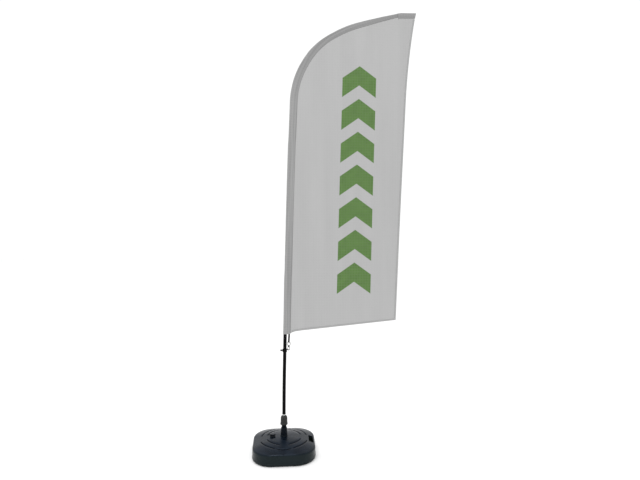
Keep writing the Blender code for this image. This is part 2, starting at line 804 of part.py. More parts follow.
def make_collar(collar_look, screw_look, knob_look):
    point, lean = pole_at(COLLAR_AT)
    frame = add_frame("collar_axis", point, lean)
    half = COLLAR_HEIGHT / 2
    ring = [
        (COLLAR_BORE, -half),
        (COLLAR_RADIUS - 0.001, -half),
        (COLLAR_RADIUS, -half + 0.001),
        (COLLAR_RADIUS, half - 0.001),
        (COLLAR_RADIUS - 0.001, half),
        (COLLAR_BORE, half),
    ]
    collar = add_object("tension_collar", turned(ring, 28, True), collar_look, frame)

    # The lug is a flat eye flush with the collar's top, on a short rib
    inside = COLLAR_BORE + 0.0012
    lug_top = half - 0.002
    lug = []
    tip = LUG_REACH - LUG_HALF_WIDTH
    for x, y in arc((tip, 0.0), LUG_HALF_WIDTH, -math.pi / 2, math.pi / 2, 8):
        lug.append((x, y, lug_top - LUG_THICK))
    lug += [(inside, LUG_HALF_WIDTH, lug_top - LUG_THICK), (inside, -LUG_HALF_WIDTH, lug_top - LUG_THICK)]
    eye = add_object("add_lug", prism(lug, (0, 0, LUG_THICK)), None, frame)
    hole = turned([(LUG_HOLE, -half), (LUG_HOLE, half)], 16, centre=(LUG_HOLE_AT, 0.0))
    hole = add_object("cut_lug_hole", hole, None, frame)
    boss_face = COLLAR_RADIUS + 0.0020
    boss = [
        (SCREW_BOSS, COLLAR_BORE + 0.0012),
        (SCREW_BOSS, boss_face - 0.0006),
        (SCREW_BOSS - 0.0008, boss_face),
    ]
    boss = add_object("add_screw_boss", turned(boss, 20), None, frame)
    boss.rotation_euler = (0.0, -math.pi / 2, 0.0)
    tapped = turned([(SCREW_RADIUS + GAP, 0.0), (SCREW_RADIUS + GAP, 0.03)], 20)
    tapped = add_object("cut_screw_hole", tapped, None, frame)
    tapped.rotation_euler = (0.0, -math.pi / 2, 0.0)
    boolean(collar, eye, "UNION")
    boolean(collar, hole, "DIFFERENCE")
    boolean(collar, boss, "UNION")
    boolean(collar, tapped, "DIFFERENCE")

    # The screw lies along the collar's -X; its own +Z points out
    screw_axis = add_frame("screw_axis", (0.0, 0.0, 0.0), -math.pi / 2, frame)
    head = KNOB_AT + KNOB_RADIUS * 0.35
    screw = [
        (SCREW_RADIUS - 0.0006, LOWER_RADIUS + GAP),
        (SCREW_RADIUS, LOWER_RADIUS + GAP + 0.0006),
        (SCREW_RADIUS, head),
    ]
    add_object("clamp_screw", turned(screw, 20), screw_look, screw_axis)
    hollow = SCREW_RADIUS + GAP
    opening = math.asin(hollow / KNOB_RADIUS)
    ball = [
        (KNOB_RADIUS * math.sin(a), KNOB_AT - KNOB_RADIUS * math.cos(a))
        for a in (opening + (math.radians(170) - opening) * k / 7 for k in range(8))
    ]
    ball = [(hollow, head + GAP)] + ball
    add_object("clamp_knob", turned(ball, 18), knob_look, screw_axis)
    return frame


def make_hook(frame, wire_look, socket_look, gate_look):
    left = LUG_HOLE_AT
    middle = left + HOOK_HALF
    right = middle + HOOK_HALF
    bottom = COLLAR_HEIGHT / 2 - 0.002 - LUG_THICK + 0.0020
    socket_top = SOCKET_BOTTOM + SOCKET_HEIGHT

    # Hook: from the gate's landing round under the lug's rim, up through its hole to the socket
    points = [(right, 0.0, bottom + 0.006), (right, 0.0, bottom + 0.003)]
    for x, z in arc((middle, bottom), HOOK_HALF, 0.0, -math.pi, 10):
        points.append((x, 0.0, z))
    points += [(left, 0.0, bottom + 0.005), (left, 0.0, SOCKET_BOTTOM - 0.004)]
    points += [(left + 0.0008, 0.0, SOCKET_BOTTOM - 0.0005), (left + 0.0025, 0.0, SOCKET_BOTTOM + 0.003)]
    hook = add_object("snap_hook", skin(wire_along(points, WIRE)), wire_look, frame)
    stem_hole = SWIVEL_STEM + GAP + 0.0001
    socket = [
        (stem_hole, SOCKET_BOTTOM),
        (0.0050, SOCKET_BOTTOM),
        (0.0055, SOCKET_BOTTOM + 0.001),
        (0.0055, socket_top - 0.001),
        (0.0050, socket_top),
        (stem_hole, socket_top),
    ]
    socket = add_object("add_hook_socket", turned(socket, 20, True, (middle, 0.0)), None, frame)
    hinge_z = SOCKET_BOTTOM - 0.0022
    ear = rounded(
        box((right - 0.0024, -0.0026, hinge_z - 0.0022), (right + 0.0024, 0.0026, SOCKET_BOTTOM + 0.002)), 0.0006
    )
    ear = add_object("add_hook_ear", ear, None, frame)
    slot = box((right - 0.004, -0.0013, hinge_z - 0.004), (right + 0.004, 0.0013, hinge_z + 0.0021))
    slot = add_object("cut_hook_slot", slot, None, frame)
    stem = turned([(stem_hole, SOCKET_BOTTOM - 0.01), (stem_hole, socket_top + 0.01)], 20, centre=(middle, 0.0))
    stem = add_object("cut_hook_stem", stem, None, frame)
    pin_hole = turned([(0.0009, -0.005), (0.0009, 0.005)], 12)
    pin_hole = add_object("cut_hook_pin", pin_hole, None, frame)
    pin_hole.location = (right, 0.0, hinge_z)
    pin_hole.rotation_euler = (math.pi / 2, 0.0, 0.0)
    boolean(hook, socket, "UNION")
    boolean(hook, ear, "UNION")
    boolean(hook, slot, "DIFFERENCE")
    boolean(hook, stem, "DIFFERENCE")
    boolean(hook, pin_hole, "DIFFERENCE")

    # Gate: a flat bar on the rivet, closing on the hook's end
    gate_axis = add_frame("gate_axis", (right, 0.0, hinge_z), 0.0, frame)
    landing = bottom + 0.006 + GAP - hinge_z
    outline = [(x, -0.0010, z) for x, z in arc((0.0, 0.0), 0.0017, 0.0, math.pi, 6)]
    outline += [(-0.0014, -0.0010, landing), (0.0014, -0.0010, landing)]
    gate = add_object("hook_gate", prism(outline, (0, 0.0020, 0)), gate_look, gate_axis)
    rivet_hole = turned([(0.0010, -0.005), (0.0010, 0.005)], 12)
    rivet_hole = add_object("cut_gate_pin", rivet_hole, None, gate_axis)
    rivet_hole.rotation_euler = (math.pi / 2, 0.0, 0.0)
    boolean(gate, rivet_hole, "DIFFERENCE")
    rivet = add_object("gate_rivet", turned([(0.0006, -0.0030), (0.0006, 0.0030)], 12), gate_look, gate_axis)
    rivet.rotation_euler = (math.pi / 2, 0.0, 0.0)

    # Swivel eye: the loop that the strap is sewn round, with its stem and head in the socket
    swivel_axis = add_frame("swivel_axis", (middle, 0.0, 0.0), 0.0, frame)
    low = socket_top + 0.004
    corner = 0.005
    points = []
    corners = (
        (EYE_HALF - corner, low + corner, -math.pi / 2),
        (EYE_HALF - corner, EYE_TOP - corner, 0.0),
        (-EYE_HALF + corner, EYE_TOP - corner, math.pi / 2),
        (-EYE_HALF + corner, low + corner, math.pi),
    )
    for x, z, start in corners:
        points += [(px, 0.0, pz) for px, pz in arc((x, z), corner, start, start + math.pi / 2, 4)]
    rings = wire_along([points[-1]] + points + [points[0]], WIRE)[1:-1]
    eye = add_object("swivel_eye", skin(rings, closed=True), wire_look, swivel_axis)
    post = turned(
        [
            (SWIVEL_HEAD, SOCKET_BOTTOM - GAP - 0.0016),
            (SWIVEL_HEAD, SOCKET_BOTTOM - GAP),
            (SWIVEL_STEM, SOCKET_BOTTOM - GAP),
            (SWIVEL_STEM, socket_top + GAP),
            (0.0034, socket_top + GAP),
            (0.0030, low + 0.0012),
        ],
        20,
    )
    boolean(eye, add_object("add_swivel_post", post, None, swivel_axis), "UNION")
    return Vector((middle, 0.0, EYE_TOP))


def make_strap(frame, eye_top, look):
    """An elastic loop: down behind the eye's top wire, round it and up in front, sewn together above."""
    lean = frame.rotation_euler.y
    turn = Vector((math.cos(lean), 0.0, -math.sin(lean)))
    rise = Vector((math.sin(lean), 0.0, math.cos(lean)))
    low = frame.location + turn * eye_top.x + rise * eye_top.z
    inner = WIRE + GAP
    outer = inner + STRAP_THICK
    foot, _, across = pole_frame(FLAG_FOOT)
    top = foot + across * (sleeve_reach(FLAG_FOOT) - STRAP_WIDTH * 0.5 - 0.002)
    top.z -= GAP + 0.0006
    sewn = low.z + 0.016
    outline = [(outer, low.z), (STRAP_THICK, sewn), (STRAP_THICK, top.z)]
    outline += [(-STRAP_THICK, top.z), (-STRAP_THICK, sewn), (-outer, low.z)]
    outline += [(y, z) for y, z in arc((0.0, low.z), outer, -math.pi, 0.0, 10)[1:-1]]
    hole = [(inner, low.z), (0.0004, sewn - 0.004), (-0.0004, sewn - 0.004), (-inner, low.z)]
    hole += [(y, z) for y, z in arc((0.0, low.z), inner, -math.pi, 0.0, 10)[1:-1]]

    def placed(y, z, side):
        share = (z - low.z) / (top.z - low.z)
        return Vector((low.x + (top.x - low.x) * share + side * STRAP_WIDTH / 2, y, z))

    strap = add_object("elastic_strap", skin([[placed(y, z, s) for y, z in outline] for s in (-1, 1)]), look)
    cut = add_object("cut_strap_loop", skin([[placed(y, z, s) for y, z in hole] for s in (-1.5, 1.5)]))
    boolean(strap, cut, "DIFFERENCE")


# ---- the flag


def between(table, at):
    """Straight-line value from a table of (place, value) pairs."""
    if at <= table[0][0]:
        return table[0][1]
    for (a, first), (b, second) in zip(table, table[1:]):
        if at <= b:
            return first + (second - first) * (at - a) / (b - a)
    return table[-1][1]


def sleeve_steps():
    """Where the sleeve narrows past each stop ring, with the pole's radius there."""
    past = STOP_RING + 0.006
    ease = 0.05
    return (
        (LOWER_LENGTH + past, LOWER_RADIUS),
        (LOWER_LENGTH + past + ease, MIDDLE_RADIUS),
        (MIDDLE_END + past, MIDDLE_RADIUS),
        (MIDDLE_END + past + ease, UPPER_RADIUS),
    )


def sleeve_places():
    return stations(FLAG_FOOT, POCKET_FROM - GAP, [place for place, _ in sleeve_steps()])


def sleeve_nose(distance):
    steps = sleeve_steps()
    radius = between(steps, distance) if distance < steps[-1][0] else upper_radius(distance)
    return radius + SLEEVE_SLACK + SLEEVE_FABRIC


def sleeve_reach(distance):
    """From the pole's centre line to the seam that joins sleeve and panel."""
    widths = [(POLE_END - back, width) for back, width in SLEEVE_WIDTHS]
    return between(widths, distance) - sleeve_nose(distance)


def tear_ring(distance, nose, reach, edge, slant=0.0, count=9):
    """A teardrop section: round over the pole, tapering flat to the seam."""
    point, along, across = pole_frame(distance)
    side = Vector((0.0, 1.0, 0.0))
    wide = math.radians(100)
    flat = [
        (-nose * math.cos(a), nose * math.sin(a))
        for a in (-wide + 2 * wide * k / (count - 1) for k in range(count))
    ]
    flat += [(reach, edge), (reach, -edge)]
    return [point + across * u + side * v - along * slant * u for u, v in flat]


def make_sleeve(look):
    places = sleeve_places()
    inset = 0.004
    rings = [tear_ring(s, sleeve_nose(s), sleeve_reach(s), SEAM_HALF) for s in places]
    for s in reversed(places):
        nose = sleeve_nose(s) - SLEEVE_FABRIC
        rings.append(tear_ring(s, nose, sleeve_reach(s) - inset, SEAM_HALF * 0.35))
    add_object("pole_sleeve", skin(rings, closed=True), look)


def pocket_slant(distance):
    """The pocket's far end is cut back towards the trailing hem."""
    share = (distance - POCKET_FROM) / (POCKET_TO - POCKET_FROM)
    return POCKET_SLANT * max(0.0, share * 2 - 1)


def make_tip_pocket(look):
    reach = POCKET_WIDTH - POCKET_NOSE
    places = stations(POCKET_FROM, POCKET_TO)
    rings = [tear_ring(s, POCKET_NOSE, reach, SEAM_HALF, pocket_slant(s)) for s in places]
    blind = [min(s, POCKET_TO - 0.006) for s in places]
    inner_nose = POCKET_NOSE - SLEEVE_FABRIC
    inside = [tear_ring(s, inner_nose, reach - 0.004, SEAM_HALF * 0.35, pocket_slant(s)) for s in blind]
    add_object("tip_pocket", skin(list(reversed(rings)) + inside), look)


def trailing_x(height, top):
    foot = panel_foot(TRAIL_FOOT_X)
    above = max(0.0, height - top + TRAIL_FLARE_DROP)
    return TRAIL_FOOT_X + TRAIL_SLOPE * (height - foot) + TRAIL_FLARE * above**2


def panel_foot(x, seam_x=0.0):
    """Height of the bottom hem, which hooks down to meet the sleeve's mouth."""
    mouth, _ = pole_at(FLAG_FOOT)
    hook = PANEL_FOOT_HOOK * math.exp((seam_x - x) / 0.018)
    return mouth.z + PANEL_FOOT_RISE + PANEL_FOOT_SLOPE * x - hook


def make_panel(look):
    """The printed cloth, from the sleeve's seam to the trailing hem, as one thin slab."""
    outline = []
    for s in [FLAG_FOOT + 0.003] + sleeve_places()[1:]:
        point, _, across = pole_frame(s)
        outline.append(point + across * (sleeve_reach(s) + GAP))
    seam_x = outline[0].x
    reach = POCKET_WIDTH - POCKET_NOSE + GAP
    point, _, across = pole_frame(POCKET_FROM - GAP)
    outline.append(point + across * reach)
    for s in stations(POCKET_FROM, POCKET_TO):
        point, along, across = pole_frame(s)
        outline.append(point + across * reach - along * pocket_slant(s) * reach)
    top = outline[-1].z
    foot = panel_foot(TRAIL_FOOT_X)
    shift = outline[-1].x - trailing_x(top, top)
    steps = 16
    for k in range(1, steps + 1):
        height = top + (foot - top) * k / steps
        outline.append(Vector((trailing_x(height, top) + shift * (1 - k / steps) ** 4, 0.0, height)))
    for share in (0.75, 0.5, 0.25, 0.10, 0.055, 0.035, 0.018, 0.006):
        x = seam_x + (TRAIL_FOOT_X - seam_x) * share
        outline.append(Vector((x, 0.0, panel_foot(x, seam_x))))
    back = [point + Vector((0.0, FABRIC / 2, 0.0)) for point in outline]
    add_object("flag_panel", prism(back, (0.0, -FABRIC, 0.0)), look)


def main():
    clear_scene()
    moulded = ((0.045, 0.055, 0.065), 0.0, 0.38)
    dark_plastic = ((0.012, 0.016, 0.020), 0.0, 0.32)
    black_nylon = ((0.010, 0.010, 0.011), 0.0, 0.45)
    grey_nylon = ((0.070, 0.072, 0.072), 0.0, 0.50)
    white_nylon = ((0.820, 0.820, 0.800), 0.0, 0.35)
    rubber = ((0.015, 0.015, 0.015), 0.0, 0.80)
    steel = ((0.780, 0.790, 0.800), 1.0, 0.14)
    spring_steel = ((0.250, 0.250, 0.260), 1.0, 0.35)
    zinc = ((0.550, 0.560, 0.570), 1.0, 0.28)
    anodised = ((0.008, 0.008, 0.009), 0.6, 0.35)
    fibreglass = ((0.010, 0.010, 0.010), 0.0, 0.30)
    elastic = ((0.012, 0.012, 0.013), 0.0, 0.85)
    polyester = ((0.500, 0.500, 0.500), 0.0, 0.80)
    sleeve_cloth = ((0.300, 0.300, 0.300), 0.0, 0.85)

    make_tank(moulded)
    make_filler_cap(dark_plastic, rubber)
    make_stand_tube(dark_plastic)
    make_collet(grey_nylon)
    make_clamp_nut(black_nylon)
    make_spindle(steel, white_nylon, spring_steel)
    make_rotor(black_nylon, white_nylon)
    make_pole(anodised, fibreglass, black_nylon, black_nylon, rubber)
    collar = make_collar(black_nylon, zinc, black_nylon)
    eye_top = make_hook(collar, zinc, zinc, spring_steel)
    make_strap(collar, eye_top, elastic)
    make_sleeve(sleeve_cloth)
    make_tip_pocket(sleeve_cloth)
    make_panel(polyester)


main()
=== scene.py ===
import json
import math

import bmesh
import bpy
from mathutils import Matrix, Vector, noise

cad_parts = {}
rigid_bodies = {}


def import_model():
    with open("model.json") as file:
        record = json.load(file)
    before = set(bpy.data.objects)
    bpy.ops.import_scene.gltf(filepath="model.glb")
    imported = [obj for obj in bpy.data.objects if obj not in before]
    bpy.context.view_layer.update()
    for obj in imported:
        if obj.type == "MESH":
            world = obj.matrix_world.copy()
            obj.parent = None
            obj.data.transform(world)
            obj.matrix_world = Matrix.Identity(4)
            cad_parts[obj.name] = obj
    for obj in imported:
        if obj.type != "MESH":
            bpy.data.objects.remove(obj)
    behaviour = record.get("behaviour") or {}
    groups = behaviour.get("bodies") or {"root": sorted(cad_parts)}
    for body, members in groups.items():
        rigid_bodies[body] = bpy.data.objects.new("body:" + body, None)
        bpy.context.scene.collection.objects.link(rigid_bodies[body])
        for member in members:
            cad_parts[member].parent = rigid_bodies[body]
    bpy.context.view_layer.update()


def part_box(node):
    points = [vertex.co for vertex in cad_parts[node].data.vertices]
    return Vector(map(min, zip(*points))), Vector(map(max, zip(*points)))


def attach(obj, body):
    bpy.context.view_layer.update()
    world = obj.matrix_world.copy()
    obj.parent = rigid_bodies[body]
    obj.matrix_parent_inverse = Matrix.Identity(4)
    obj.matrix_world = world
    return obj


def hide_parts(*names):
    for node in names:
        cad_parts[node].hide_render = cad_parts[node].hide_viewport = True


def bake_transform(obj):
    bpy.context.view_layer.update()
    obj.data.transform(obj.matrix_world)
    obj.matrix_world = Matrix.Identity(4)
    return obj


for leftover in list(bpy.data.objects):  # the startup cube, light and camera
    bpy.data.objects.remove(leftover, do_unlink=True)
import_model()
print("feather flag: frame loaded")

scene = bpy.context.scene
scene.view_settings.view_transform = "Standard"


# Small tools for the materials

def toLinear(hexText):
    parts = [int(hexText[at:at + 2], 16) / 255 for at in (1, 3, 5)]
    return tuple(c / 12.92 if c <= 0.04045 else ((c + 0.055) / 1.055) ** 2.4 for c in parts) + (1.0,)


def addNode(tree, kind, settings=None, inputs=None):
    node = tree.nodes.new(kind)
    for name, value in (settings or {}).items():
        setattr(node, name, value)
    for name, value in (inputs or {}).items():
        if isinstance(value, bpy.types.NodeSocket):
            tree.links.new(value, node.inputs[name])
        else:
            node.inputs[name].default_value = value
    return node


def newMaterial(name, fixed):
    material = bpy.data.materials.new(name)
    material.use_nodes = True
    shader = material.node_tree.nodes["Principled BSDF"]
    for socket, value in fixed.items():
        shader.inputs[socket].default_value = value
    return material, material.node_tree, shader



# Moulded plastics share one way of being made: a base colour with slow mottle, a fine mould grain and
# rubbed high spots

def mouldedPlastic(name, look):
    material, tree, shader = newMaterial(name, {
        "IOR": look["ior"],
        "Specular IOR Level": look.get("shine", 0.5),
        # the tint is a painted reflection: it colours reflections bluish, as a bluish sky would
        "Specular Tint": toLinear(look.get("tint", "#ffffff")),
    })
    place = addNode(tree, "ShaderNodeTexCoord").outputs["Object"]
    mottle = addNode(tree, "ShaderNodeTexNoise", None, {
        "Vector": place, "Scale": 1000 / look["mottleMm"], "Detail": 3.0, "Roughness": 0.55,
    }).outputs[0]
    grain = addNode(tree, "ShaderNodeTexNoise", None, {
        "Vector": place, "Scale": 1000 / look["grainMm"], "Detail": 2.0, "Roughness": 0.6,
    }).outputs[0]
    scuff = addNode(tree, "ShaderNodeTexNoise", None, {
        "Vector": place, "Scale": 1000 / (look["mottleMm"] * 0.35), "Detail": 6.0, "Roughness": 0.7,
    }).outputs[0]
    colour = addNode(
        tree, "ShaderNodeMix", {"data_type": "RGBA"},
        {
            0: addNode(
                tree, "ShaderNodeMapRange", {"interpolation_type": "SMOOTHSTEP"},
                {0: mottle, 1: 0.3, 2: 0.7, 3: 0.0, 4: 1.0},
            ).outputs[0],
            6: toLinear(look["dark"]), 7: toLinear(look["light"]),
        },
    ).outputs[2]
    edge = addNode(tree, "ShaderNodeNewGeometry").outputs["Pointiness"]
    rubbed = addNode(
        tree, "ShaderNodeMath", {"operation": "MULTIPLY"},
        {
            0: addNode(
                tree, "ShaderNodeMapRange", {"interpolation_type": "SMOOTHSTEP"},
                {0: edge, 1: look.get("wornFrom", 0.515), 2: 0.58, 3: 0.0, 4: 0.55},
            ).outputs[0],
            1: addNode(
                tree, "ShaderNodeMapRange", {"interpolation_type": "SMOOTHSTEP"},
                {0: scuff, 1: 0.45, 2: 0.65, 3: 0.0, 4: 1.0},
            ).outputs[0],
        },
    ).outputs[0]
    colour = addNode(
        tree, "ShaderNodeMix", {"data_type": "RGBA"}, {0: rubbed, 6: colour, 7: toLinear(look["worn"])},
    ).outputs[2]
    # painted shade, with dust: the colour darkens in the hollows, where pointiness is low
    grime = addNode(
        tree, "ShaderNodeMapRange", {"interpolation_type": "SMOOTHSTEP"},
        {0: edge, 1: 0.44, 2: 0.49, 3: look.get("grime", 0.6), 4: 0.0},
    ).outputs[0]
    colour = addNode(
        tree, "ShaderNodeMix", {"data_type": "RGBA"}, {0: grime, 6: colour, 7: toLinear("#020304")},
    ).outputs[2]
    if "foot" in look:  # painted light: a duller, greener cast on the walls than on the top, as the light falls differently on them
        tone, low, high = look["foot"]
        height = addNode(tree, "ShaderNodeSeparateXYZ", None, {0: place}).outputs[2]
        colour = addNode(
            tree, "ShaderNodeMix", {"data_type": "RGBA"},
            {
                0: addNode(
                    tree, "ShaderNodeMapRange", {"interpolation_type": "SMOOTHSTEP"},
                    {0: height, 1: low, 2: high, 3: 0.8, 4: 0.0},
                ).outputs[0],
                6: colour, 7: toLinear(tone),
            },
        ).outputs[2]
    rough = addNode(
        tree, "ShaderNodeMapRange", {"interpolation_type": "SMOOTHSTEP"},
        {0: mottle, 1: 0.25, 2: 0.75, 3: look["smooth"], 4: look["rough"]},
    ).outputs[0]
    rough = addNode(
        tree, "ShaderNodeMath", {"operation": "ADD"},
        {
            0: rough,
            1: addNode(
                tree, "ShaderNodeMapRange", {"interpolation_type": "SMOOTHSTEP"},
                {0: scuff, 1: 0.55, 2: 0.75, 3: 0.0, 4: 0.10},
            ).outputs[0],
        },
    ).outputs[0]
    if "hollow" in look:  # dust makes the grooves dead matt, and painted shade darkens them
        sunk = addNode(tree, "ShaderNodeAttribute", {"attribute_name": "hollow"}).outputs["Fac"]
        rough = addNode(
            tree, "ShaderNodeMath", {"operation": "ADD"},
            {
                0: rough,
                1: addNode(
                    tree, "ShaderNodeMath", {"operation": "MULTIPLY"}, {0: sunk, 1: look["hollow"]},
                ).outputs[0],
            },
        ).outputs[0]
        # painted shade: the grooves' colour goes darker the deeper they lie
        colour = addNode(
            tree, "ShaderNodeMix", {"data_type": "RGBA"},
            {
                0: addNode(tree, "ShaderNodeMath", {"operation": "MULTIPLY"}, {0: sunk, 1: 0.9}).outputs[0],
                6: colour, 7: toLinear("#020203"),
            },
        ).outputs[2]
    tree.links.new(colour, shader.inputs["Base Color"])
    tree.links.new(rough, shader.inputs["Roughness"])
    fine = addNode(
        tree, "ShaderNodeBump", None, {"Strength": look["grain"], "Distance": 0.0002, "Height": grain},
    )
    wavy = addNode(tree, "ShaderNodeBump", None, {
        "Strength": look["waviness"], "Distance": 0.002, "Height": mottle, "Normal": fine.outputs[0],
    })
    tree.links.new(wavy.outputs[0], shader.inputs["Normal"])
    return material


def spunMetal(name, look):
    # Turned or drawn metal: fine tool lines round the axis or along it, and a soft patchy sheen
    material, tree, shader = newMaterial(name, {
        "Metallic": look.get("metal", 1.0), "Specular IOR Level": look.get("shine", 0.5),
    })
    place = addNode(tree, "ShaderNodeTexCoord").outputs["Object"]
    stretched = addNode(tree, "ShaderNodeMapping", None, {"Vector": place, "Scale": look["lines"]}).outputs[0]
    lines = addNode(tree, "ShaderNodeTexNoise", None, {
        "Vector": stretched, "Scale": 1000 / look["lineMm"], "Detail": 3.0, "Roughness": 0.6,
    }).outputs[0]
    patch = addNode(tree, "ShaderNodeTexNoise", None, {
        "Vector": place, "Scale": 1000 / look["patchMm"], "Detail": 4.0, "Roughness": 0.6,
    }).outputs[0]
    colour = addNode(
        tree, "ShaderNodeMix", {"data_type": "RGBA"},
        {
            0: addNode(
                tree, "ShaderNodeMapRange", {"interpolation_type": "SMOOTHSTEP"},
                {0: lines, 1: 0.35, 2: 0.65, 3: 0.0, 4: 1.0},
            ).outputs[0],
            6: toLinear(look["dark"]), 7: toLinear(look["light"]),
        },
    ).outputs[2]
    colour = addNode(
        tree, "ShaderNodeMix", {"data_type": "RGBA"},
        {
            0: addNode(
                tree, "ShaderNodeMapRange", {"interpolation_type": "SMOOTHSTEP"},
                {0: patch, 1: 0.58, 2: 0.75, 3: 0.0, 4: 0.5},
            ).outputs[0],
            6: colour, 7: toLinear(look["worn"]),
        },
    ).outputs[2]
    tree.links.new(colour, shader.inputs["Base Color"])
    tree.links.new(
        addNode(
            tree, "ShaderNodeMapRange", {"interpolation_type": "SMOOTHSTEP"},
            {0: patch, 1: 0.3, 2: 0.7, 3: look["smooth"], 4: look["rough"]},
        ).outputs[0],
        shader.inputs["Roughness"],
    )
    bump = addNode(
        tree, "ShaderNodeBump", None, {"Strength": look["grain"], "Distance": 0.0001, "Height": lines},
    )
    tree.links.new(bump.outputs[0], shader.inputs["Normal"])
    return material


# Blow-moulded high-density polyethylene: waxy satin skin, slow waves from the blowing and a fine sand-
# blasted mould grain.
# The 0.6 mm grain is drawn at 2.2 mm so that it still shows on the whole flag.
tankPlastic = mouldedPlastic("blowMouldedPolyethylene", {
    "dark": "#080e15", "light": "#0f1721", "worn": "#363f49", "ior": 1.54, "smooth": 0.22, "rough": 0.34,
    # tint: painted reflection, a bluish cast on the reflections
    "mottleMm": 60, "grainMm": 2.2, "grain": 0.18, "waviness": 0.08, "shine": 0.15, "tint": "#c4d6f2",
    # foot: painted light, a greener cast on the tank's walls
    "foot": ("#191f1b", 0.066, 0.079), "hollow": 0.85,
})
# Injection-moulded polypropylene: darker and smoother than the tank
neckPlastic = mouldedPlastic("injectionMouldedPolypropylene", {
    "dark": "#05080c", "light": "#0b1016", "worn": "#2e343b", "ior": 1.49, "smooth": 0.26, "rough": 0.36,
    # tint: painted reflection, a bluish cast on the reflections
    "mottleMm": 24, "grainMm": 1.0, "grain": 0.15, "waviness": 0.05, "shine": 0.12, "tint": "#cfe0f4",
})
# Glass-filled nylon 6: dead black with a dry, slightly cloudy skin where the fibres come near the surface
blackNylon = mouldedPlastic("glassFilledNylonBlack", {
    "dark": "#060606", "light": "#101011", "worn": "#3a3a3a", "ior": 1.53, "smooth": 0.36, "rough": 0.50,
    "mottleMm": 9, "grainMm": 0.8, "grain": 0.30, "waviness": 0.04, "shine": 0.04,
})
# The nut is the same nylon, greyed by hands on its knurls
nutNylon = mouldedPlastic("glassFilledNylonGrey", {
    "dark": "#0c0e0d", "light": "#232624", "worn": "#9a9e9a", "ior": 1.53, "smooth": 0.20, "rough": 0.32,
    "mottleMm": 6, "grainMm": 0.8, "grain": 0.30, "waviness": 0.05, "shine": 0.30, "wornFrom": 0.53,
})
greyNylon = mouldedPlastic("nylonNaturalGrey", {
    "dark": "#4a4b4a", "light": "#5c5d5b", "worn": "#8a8a88", "ior": 1.53, "smooth": 0.40, "rough": 0.52,
    "mottleMm": 12, "grainMm": 0.9, "grain": 0.20, "waviness": 0.04,
})
# Natural acetal: milky white and slippery
whiteAcetal = mouldedPlastic("acetalNatural", {
    "dark": "#e2e1da", "light": "#f2f1ec", "worn": "#c9c7bf", "ior": 1.48, "smooth": 0.24, "rough": 0.34,
    "mottleMm": 10, "grainMm": 1.2, "grain": 0.08, "waviness": 0.03,
})
# Nitrile rubber: matt black with a bloom of grey
blackRubber = mouldedPlastic("nitrileRubber", {
    "dark": "#0b0b0b", "light": "#181818", "worn": "#353535", "ior": 1.52, "smooth": 0.70, "rough": 0.85,
    "mottleMm": 7, "grainMm": 0.6, "grain": 0.35, "waviness": 0.05, "shine": 0.3,
})
# Pultruded glass fibre in black resin: glossy, with the rovings showing as faint lengthwise streaks
glassFibre = mouldedPlastic("pultrudedGlassFibre", {
    "dark": "#070708", "light": "#151517", "worn": "#2c2c2e", "ior": 1.55, "smooth": 0.20, "rough": 0.30,
    "mottleMm": 14, "grainMm": 0.7, "grain": 0.20, "waviness": 0.04,
})
# Turned and polished stainless steel: bright, with rings left by the lathe tool at 0.2 mm, drawn at 0.5 mm
turnedSteel = spunMetal("turnedStainlessSteel", {
    "dark": "#c2c5c8", "light": "#e6e8ea", "worn": "#f4f5f6", "lines": (0.05, 0.05, 1.0), "lineMm": 0.5,
    "patchMm": 9, "smooth": 0.12, "rough": 0.24, "grain": 0.20,
})
# Oiled spring steel: dark straw grey
springSteel = spunMetal("oiledSpringSteel", {
    "dark": "#6b6c6f", "light": "#8f9092", "worn": "#a7a29a", "lines": (1.0, 1.0, 0.08), "lineMm": 0.6,
    "patchMm": 5, "smooth": 0.26, "rough": 0.42, "grain": 0.15,
})
# Die-cast zinc under black chromate: the passivated film hides the metal, so it is a satin near-black
# rubbed grey in patches
chromatedZinc = spunMetal("blackChromatedZinc", {
    "dark": "#0e0f10", "light": "#1b1c1e", "worn": "#4c4f51", "lines": (1.0, 1.0, 1.0), "lineMm": 1.6,
    "patchMm": 4, "smooth": 0.24, "rough": 0.40, "grain": 0.12, "metal": 0.0, "shine": 0.22,
})
# Black anodised aluminium: the dyed oxide film hides the metal, so it is satin black to its edges, with
# faint lengthwise
# die lines from the extrusion, 0.3 mm apart, drawn at 0.9 mm
anodisedTube = spunMetal("blackAnodisedAluminium", {
    "dark": "#040405", "light": "#09090a", "worn": "#121213", "lines": (1.0, 1.0, 0.004), "lineMm": 0.9,
    "patchMm": 30, "smooth": 0.34, "rough": 0.46, "grain": 0.10, "metal": 0.0, "shine": 0.05,
})

clothLook = {
    "panel": "#a8a8a8", "panelLight": "#aaaaaa", "panelDark": "#a5a5a5",
    # sleeve greys: painted shade, darker than the panel's, as shade and the double layer would show
    "sleeve": "#8e8e8e", "sleeveLight": "#979797", "sleeveDark": "#858585",
    "hem": "#a3a3a3", "hemDark": "#9e9e9e",
    "ink": "#507333", "inkDark": "#4a6b2f",
    "thread": "#8c8c8c",
    "weaveMm": 3.0,  # as drawn
}


def wovenBump(tree, place, millimetres, strength):
    # Two crossed sets of ridges, as the yarns lie
    ridges = []
    for turn in (0.0, math.pi / 2):
        laid = addNode(
            tree, "ShaderNodeMapping", None, {"Vector": place, "Rotation": (0.0, 0.0, turn)},
        ).outputs[0]
        wave = addNode(tree, "ShaderNodeTexWave", {"bands_direction": "X"}, {
            "Vector": laid, "Scale": 1000 / millimetres / 20, "Distortion": 0.6, "Detail": 1.0,
        })
        ridges.append(wave.outputs[1])
    cloth = addNode(tree, "ShaderNodeMath", {"operation": "MAXIMUM"}, dict(enumerate(ridges))).outputs[0]
    return cloth, addNode(
        tree, "ShaderNodeBump", None, {"Strength": strength, "Distance": 0.0003, "Height": cloth},
    )


